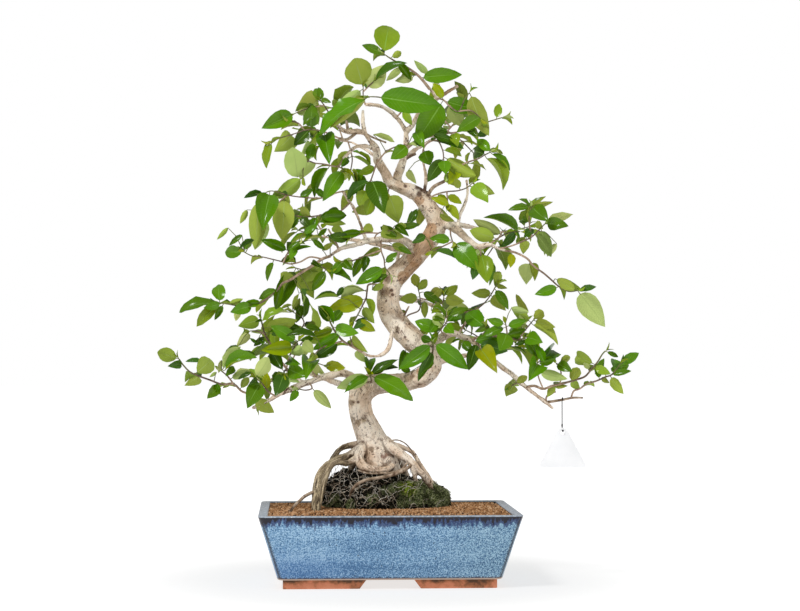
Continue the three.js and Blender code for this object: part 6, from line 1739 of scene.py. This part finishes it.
def young_leaves(path, chance):
    """A pair of small fresh leaves at the end of a stem."""
    along = (path[-1] - path[-2]).normalized()
    level = along.cross(Vector((0, 0, 1)))
    level = level.normalized() if level.length > 0.1 else Vector((1, 0, 0))
    level.rotate(Matrix.Rotation(chance.uniform(0, 6.28), 3, along))
    leaves = []
    for side in (1, -1):
        heading = (along + level * side * chance.uniform(*YOUNG_OPENING)).normalized()
        length = chance.uniform(*YOUNG_LENGTH) * MM
        face = along - heading * along.dot(heading)
        tones = LEAF_TONES[chance.choice(YOUNG_TONES)]
        leaves.append({"place": path[-1] + heading * 0.3 * MM, "turn": leaf_turn(heading, face),
                       "size": (length, length * YOUNG_RATIO, length),
                       "shape": chance.randrange(len(LEAF_FORMS)),
                       "tones": [varied(rgb, chance) for rgb in tones]})
    return leaves


# %% The sprays
def spray_stems(drawing):
    stems = []
    for order, drawn in enumerate(drawing["stems"]):
        points = [seen(point) for point in drawn]
        points[0] = nearest_place(points[0], stems or wood.values())[0]
        ends = STEM_RADII if order else drawing["thick"]
        stems.append(smooth_path(points, spread(ends, len(points))))
    return stems


def spray_source(name, stems, stalks, leaves):
    """A mesh that holds the chains and the leaf points of one spray, with their attributes."""
    places, edges, radii = chain_lists(stems + stalks)
    stem_points = len(places)
    ages = [1 - step / len(path) for path, _ in stems for step in range(len(path))]
    ages += [0.0] * (stem_points - len(ages))
    places += [leaf["place"] for leaf in leaves]
    mesh = bpy.data.meshes.new(name)
    mesh.from_pydata(places, edges, [])
    blank = [0.0] * stem_points
    columns = {
        "radius_here": ("FLOAT", "value", radii + [0.0] * len(leaves)),
        "age": ("FLOAT", "value", ages + [0.0] * len(leaves)),
        "is_leaf": ("BOOLEAN", "value", [False] * stem_points + [True] * len(leaves)),
        "shape": ("INT", "value", [0] * stem_points + [
            leaf["shape"] + (len(LEAF_FORMS) if leaf["size"][0] < SMALL_LEAF else 0) for leaf in leaves]),
        "turn": ("QUATERNION", "value", [1.0, 0.0, 0.0, 0.0] * stem_points
                 + [part for leaf in leaves for part in leaf["turn"]]),
        "size": ("FLOAT_VECTOR", "vector", blank * 3 + [part for leaf in leaves for part in leaf["size"]]),
        "upper_tone": ("FLOAT_COLOR", "color",
                       blank * 4 + [part for leaf in leaves for part in leaf["tones"][0]]),
        "under_tone": ("FLOAT_COLOR", "color",
                       blank * 4 + [part for leaf in leaves for part in leaf["tones"][1]]),
    }
    for label, column in columns.items():
        store(mesh, label, *column)
    return add_object(name, mesh)

# %% [markdown]
# ## Leaves behind leaves
# The solids hold the large leaves. Between and behind them the drawing shows many more, hazy and
# olive where an underside faces the front. They are listed by their kind of green, each with its
# drawn base, tip and width. Each grows on the stem that is nearest to it on the drawing, and how
# far it leans follows from how much longer such a leaf is than it is drawn. Where the solids hold
# a listed leaf already, the list gives that blade its green and its width.

# %% The drawn leaves between the large ones
MORE_LEAVES = {}
MORE_LEAVES["v"] = [
    (285, 249, 262, 240, 11), (440, 104, 421, 135, 27), (480, 116, 457, 131, 14), (438, 97, 480, 103, 16),
    (341, 167, 348, 158, 8), (416, 131, 424, 147, 12), (448, 131, 425, 129, 9), (298, 113, 260, 129, 21),
    (417, 145, 391, 158, 15), (418, 145, 433, 165, 17), (428, 146, 465, 147, 11), (446, 156, 444, 173, 14),
    (490, 150, 477, 138, 11), (289, 254, 311, 246, 5), (304, 233, 317, 224, 7), (455, 239, 430, 239, 11),
    (520, 229, 485, 217, 13), (220, 304, 204, 308, 9), (262, 300, 246, 300, 9), (319, 306, 334, 324, 7),
    (333, 322, 364, 338, 13), (339, 334, 312, 350, 12), (286, 362, 307, 378, 16), (447, 323, 459, 311, 13),
    (430, 332, 416, 320, 12), (430, 332, 438, 319, 10), (448, 324, 449, 334, 11), (505, 323, 490, 318, 6),
    (504, 325, 488, 330, 5), (506, 326, 522, 319, 8), (512, 334, 500, 346, 16), (464, 342, 473, 350, 8),
    (217, 383, 221, 395, 6), (545, 362, 536, 344, 10), (536, 360, 530, 379, 20), (463, 342, 475, 353, 10),
    (476, 341, 508, 335, 13), (310, 361, 306, 378, 20)
]
MORE_LEAVES["o"] = [
    (483, 255, 489, 283, 17), (223, 304, 196, 325, 12), (396, 238, 381, 228, 14), (352, 262, 341, 265, 10),
    (497, 116, 499, 102, 9), (424, 207, 418, 226, 11), (392, 244, 411, 252, 9), (350, 190, 341, 210, 12),
    (321, 99, 293, 107, 31), (361, 87, 356, 55, 30), (292, 125, 273, 151, 22), (270, 143, 266, 168, 6),
    (372, 157, 357, 174, 7), (287, 195, 283, 215, 10), (375, 205, 352, 212, 14), (449, 126, 457, 146, 12),
    (437, 149, 465, 153, 9), (447, 151, 476, 176, 20), (484, 155, 502, 178, 9), (258, 203, 255, 250, 21),
    (247, 210, 240, 224, 7), (228, 228, 217, 240, 6), (276, 212, 299, 222, 12), (320, 219, 346, 224, 10),
    (322, 250, 333, 243, 7), (330, 236, 338, 247, 8), (333, 226, 345, 236, 10), (322, 264, 300, 284, 15),
    (376, 200, 361, 217, 14), (386, 192, 404, 223, 24), (381, 234, 365, 229, 11), (380, 249, 363, 256, 10),
    (372, 290, 384, 284, 8), (440, 214, 455, 221, 8), (436, 207, 449, 216, 8), (537, 221, 544, 228, 8),
    (534, 241, 521, 251, 11), (500, 271, 495, 285, 9), (495, 284, 475, 290, 12), (497, 285, 508, 288, 6),
    (558, 279, 584, 290, 11), (226, 303, 243, 300, 5), (299, 294, 292, 308, 4), (292, 305, 280, 309, 4),
    (352, 336, 369, 353, 10), (364, 307, 376, 324, 10), (333, 326, 321, 334, 8), (296, 326, 306, 333, 6),
    (291, 350, 297, 358, 5), (419, 298, 399, 303, 10), (440, 305, 424, 312, 10), (432, 303, 425, 318, 8),
    (444, 293, 465, 301, 10), (231, 383, 223, 388, 4), (606, 372, 596, 374, 6), (604, 378, 611, 383, 6),
    (556, 387, 569, 386, 6), (520, 380, 508, 384, 8), (577, 288, 556, 280, 8), (288, 372, 283, 384, 6)
]
MORE_LEAVES["g"] = [
    (291, 271, 275, 309, 18), (416, 212, 407, 222, 9), (321, 99, 331, 102, 6), (328, 166, 315, 199, 12),
    (315, 106, 303, 125, 12), (242, 235, 229, 246, 6), (288, 250, 308, 240, 6), (281, 262, 290, 257, 6),
    (326, 267, 316, 283, 10), (296, 225, 285, 231, 7), (277, 211, 282, 238, 14), (320, 217, 347, 215, 14),
    (313, 240, 325, 250, 7), (318, 236, 327, 228, 6), (312, 262, 322, 268, 7), (309, 290, 299, 293, 3),
    (277, 284, 258, 296, 8), (402, 227, 420, 224, 8), (397, 236, 380, 226, 11), (395, 225, 409, 236, 9),
    (360, 232, 336, 236, 10), (398, 247, 412, 254, 6), (366, 250, 352, 275, 11), (529, 202, 546, 219, 17),
    (543, 217, 569, 225, 14), (535, 222, 521, 221, 6), (526, 236, 535, 228, 8), (262, 304, 249, 308, 6),
    (281, 284, 275, 309, 11), (257, 322, 241, 334, 14), (261, 320, 255, 322, 4), (287, 324, 270, 332, 11),
    (257, 343, 250, 338, 4), (264, 345, 261, 337, 6), (239, 346, 223, 358, 6), (256, 355, 227, 363, 8),
    (234, 366, 226, 376, 7), (302, 305, 296, 323, 9), (338, 297, 314, 299, 3), (341, 311, 334, 321, 9),
    (300, 328, 280, 325, 9), (424, 292, 441, 305, 10), (444, 292, 460, 286, 7), (433, 318, 445, 320, 7),
    (490, 326, 475, 332, 7), (509, 335, 527, 329, 9), (438, 362, 426, 370, 8), (554, 371, 568, 370, 6),
    (410, 372, 400, 365, 8), (406, 352, 399, 370, 12)
]
MORE_LEAVES["p"] = [
    (361, 86, 335, 110, 14), (297, 113, 317, 104, 9), (362, 88, 384, 62, 20), (402, 66, 386, 80, 8),
    (428, 72, 414, 59, 8), (413, 76, 395, 80, 10), (406, 106, 405, 120, 8), (297, 177, 292, 146, 24),
    (310, 143, 300, 156, 12), (372, 182, 356, 205, 16), (408, 170, 416, 183, 9), (474, 179, 492, 190, 8),
    (373, 134, 395, 141, 5), (352, 262, 339, 266, 11), (359, 284, 338, 303, 7), (500, 232, 474, 217, 7),
    (558, 243, 548, 256, 8), (256, 331, 239, 344, 9), (267, 333, 251, 332, 5), (290, 316, 265, 327, 13),
    (222, 360, 219, 373, 5), (356, 350, 366, 362, 8), (308, 340, 303, 358, 10), (313, 362, 316, 378, 11),
    (470, 310, 446, 309, 5), (512, 308, 530, 312, 8), (519, 320, 528, 328, 7), (217, 372, 210, 377, 4),
    (600, 370, 605, 377, 7), (510, 382, 520, 386, 6), (588, 292, 605, 324, 12), (312, 358, 300, 342, 13),
    (312, 364, 326, 376, 12), (286, 378, 300, 382, 6)
]
MORE_LEAVES["d"] = [
    (478, 135, 468, 126, 10), (478, 135, 488, 130, 9), (434, 134, 455, 140, 9), (312, 128, 295, 143, 14),
    (475, 152, 500, 150, 5), (410, 222, 417, 208, 8), (352, 237, 336, 231, 8), (369, 259, 364, 273, 8),
    (391, 275, 372, 283, 5), (343, 287, 336, 297, 6), (316, 337, 286, 335, 7), (342, 344, 316, 360, 14),
    (527, 341, 515, 345, 5), (252, 372, 238, 379, 5), (432, 334, 421, 344, 8), (378, 372, 399, 364, 9)
]
MORE_LEAVES["b"] = [
    (424, 234, 413, 243, 9), (435, 251, 459, 257, 6), (265, 192, 246, 196, 5), (372, 178, 346, 198, 9),
    (254, 240, 238, 250, 6), (424, 236, 412, 242, 8), (519, 236, 503, 247, 9), (538, 236, 552, 250, 6),
    (538, 238, 544, 251, 4), (481, 266, 472, 278, 8), (582, 283, 598, 285, 5), (272, 333, 276, 336, 4),
    (203, 361, 186, 361, 5), (301, 288, 303, 305, 3), (366, 320, 353, 329, 9), (480, 346, 508, 351, 5),
    (552, 354, 553, 349, 5), (431, 349, 420, 368, 12)
]
MORE_LEAVES["y"] = [
    (449, 204, 431, 197, 9), (449, 204, 459, 220, 9), (457, 169, 449, 183, 14), (431, 194, 449, 203, 10),
    (447, 193, 463, 203, 7), (431, 310, 445, 312, 5), (484, 347, 497, 371, 18)
]

# %% Leaves by drawing and by rule
LEAF_RATIO = 0.5
NARROW_RATIO = 0.34
LONGEST_GUESS = 56 * MM
LEAN_SHARE = 0.8
ARCH_RANGE = (0.5, 1.5)
FRONT_DEPTH = (-7, 3)
BEHIND_DEPTH = (3, 18)
TO_FRONT = Vector((0, -1, 0))
UPWARD = Vector((0, 0, 1))
NEARLY_ALONG = 0.2


def facing_front(chord, roll, under):
    """The upper side's direction for a leaf that is seen from the front."""
    along = chord.normalized()
    towards = TO_FRONT - along * TO_FRONT.dot(along)
    if towards.length < NEARLY_ALONG:
        towards = UPWARD - along * along.z
    towards.normalize()
    upward = along.cross(towards)
    if upward.z < 0:
        upward.negate()
    share = -math.cos(roll) if under else math.cos(roll)
    return (towards * share + upward * math.sin(roll)).normalized()


def new_leaf(base, tip, width, face, kind, chance):
    length = (tip - base).length
    return {"place": base, "turn": leaf_turn(tip - base, face),
            "size": (length, width, length * chance.uniform(*ARCH_RANGE)),
            "shape": chance.randrange(len(LEAF_FORMS)),
            "tones": [varied(rgb, chance) for rgb in LEAF_TONES[kind]]}


def drawn_leaf(drawing, kind, depth, chance):
    u, v, tip_u, tip_v, width = drawing
    base = seen((u, v, depth))
    drawn = (seen((tip_u, tip_v, depth)) - base).length
    drawn_width = width * UNIT * MM
    full = min(max(drawn, drawn_width / LEAF_RATIO), max(LONGEST_GUESS, drawn))
    lean = math.sqrt(max(full ** 2 - drawn ** 2, 0)) * LEAN_SHARE / MM
    under = kind in "op"
    if (tip_v > v) != under:
        lean = -lean
    tip = seen((tip_u, tip_v, depth + lean))
    true_width = max(drawn_width, drawn * NARROW_RATIO)
    roll = math.acos(min(drawn_width / true_width, 1))
    return new_leaf(base, tip, true_width, facing_front(tip - base, roll, under), kind, chance)


def stalk_to(leaf, stems):
    """A thin stalk from the nearest stem to the leaf's base."""
    root = nearest_place(leaf["place"], stems)[0]
    onward = leaf["place"] - root
    bend = root + onward * 0.5 + UPWARD * onward.length * 0.12
    return [root, bend, leaf["place"]], [STALK_RADIUS * 1.2, STALK_RADIUS, STALK_RADIUS * 0.8]


RULE_GAP = 15 * MM
RULE_LENGTH = (18, 30)
RULE_RATIO = (0.44, 0.56)
RULE_TURN = 0.4
RULE_OPENING = math.radians(58)
RULE_DROOP = 0.25
LEAST_BACKWARD = 0.35
RULE_KINDS = "gvdgoov"


def rule_leaves(path, chance, behind_only):
    """Opposite pairs along a stem, each pair a quarter turn from the last."""
    leaves = []
    steps = max(round(RULE_GAP / (path[1] - path[0]).length), 1)
    for order, step in enumerate(range(len(path) // 3, len(path) - 1, steps)):
        along = (path[step + 1] - path[step]).normalized()
        level = Vector((-along.y, along.x, 0))
        level = level.normalized() if level.length > NEARLY_ALONG else Vector((1, 0, 0))
        turn = order * math.pi / 2 + chance.uniform(-RULE_TURN, RULE_TURN)
        for side in (0, math.pi):
            outward = level.copy()
            outward.rotate(Matrix.Rotation(turn + side, 3, along))
            heading = along * math.cos(RULE_OPENING) + outward * math.sin(RULE_OPENING)
            heading.z -= RULE_DROOP
            heading.normalize()
            length = chance.uniform(*RULE_LENGTH) * MM
            ratio = chance.uniform(*RULE_RATIO)
            kind = chance.choice(RULE_KINDS)
            face = UPWARD - heading * heading.z
            if behind_only and heading.y < LEAST_BACKWARD or face.length < NEARLY_ALONG:
                continue
            base = path[step] + heading * 3 * MM
            leaves.append(new_leaf(base, base + heading * length, length * ratio,
                                   face.normalized(), kind, chance))
    return leaves


# %% Which spray each drawn leaf grows on
all_stems = {name: spray_stems(drawing) for name, drawing in SPRAYS.items()}
all_blades = {name: find_blades(f"spray_{name}", stems) for name, stems in all_stems.items()}
solid_blades = [blade for blades in all_blades.values() for blade in blades]


def nearest_stem(drawing):
    """The spray, and the depth of its stem, nearest to a leaf's drawn base."""
    spot = Vector(drawing[:2])
    best = None
    for name, stems in all_stems.items():
        if name.startswith("back_"):
            continue
        for path, _ in stems:
            for place in path:
                away = (drawn_place(place) - spot).length
                if best is None or away < best[0]:
                    best = (away, name, (place - POT_MIDDLE).y / MM)
    return best


SAME_LEAF = 16


def same_blade(drawing):
    """The solids' blade with nearly this base and tip, if there is one."""
    base, tip = Vector(drawing[:2]), Vector(drawing[2:4])
    for blade in solid_blades:
        apart = (base - drawn_place(blade["neck"])).length + (tip - drawn_place(blade["tip"])).length
        if apart < SAME_LEAF:
            return blade
    return None


chance = random.Random(29)
added_leaves = {name: [] for name in SPRAYS}
farthest = 0
for kind, drawings in MORE_LEAVES.items():
    for drawing in drawings:
        blade = same_blade(drawing)
        if blade:
            blade["kind"] = kind
            blade["drawn_width"] = drawing[4] * UNIT * MM
            continue
        away, name, depth = nearest_stem(drawing)
        farthest = max(farthest, away)
        depth += chance.uniform(*(BEHIND_DEPTH if kind in "op" else FRONT_DEPTH))
        added_leaves[name].append(drawn_leaf(drawing, kind, depth, chance))
print("leaves added by drawing:", sum(map(len, added_leaves.values())),
      "farthest from a stem:", round(farthest, 1))

# %% Every spray
leaf_count = 0
for order, (name, drawing) in enumerate(SPRAYS.items()):
    chance = random.Random(order + 1)
    stems = all_stems[name]
    blades = all_blades[name]
    leaves = [leaf_on(blade, drawing["tips"], chance) for blade in blades]
    stalks = []
    for blade, leaf in zip(blades, leaves):
        root = nearest_place(blade["neck"], stems)[0]
        path = [root, blade["neck"].lerp(root, 0.3), leaf["place"], leaf["place"].lerp(blade["middle"], 0.12)]
        stalks.append((path, [STALK_RADIUS * 1.3, STALK_RADIUS, STALK_RADIUS, STALK_RADIUS * 0.6]))
    small = list(added_leaves[name])
    for path, radii in stems:
        small += rule_leaves(path, chance, not name.startswith("back_"))
    stalks += [stalk_to(leaf, stems) for leaf in small]
    leaves += small
    for path, radii in stems:
        leaves += young_leaves(path, chance)
    leaf_count += len(leaves)
    source = spray_source(f"source_{name}", stems, stalks, leaves)
    grow(source, spray_tree, {"Leaves": leaf_shapes, "Upper": upper_side, "Under": under_side,
                              "Stem": stem_skin})
    piece = finished(source, f"leaves_{name}")
    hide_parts(f"spray_{name}")
print("leaves:", leaf_count)
for shape in shapes:
    bpy.data.objects.remove(shape)
bpy.data.collections.remove(leaf_shapes)
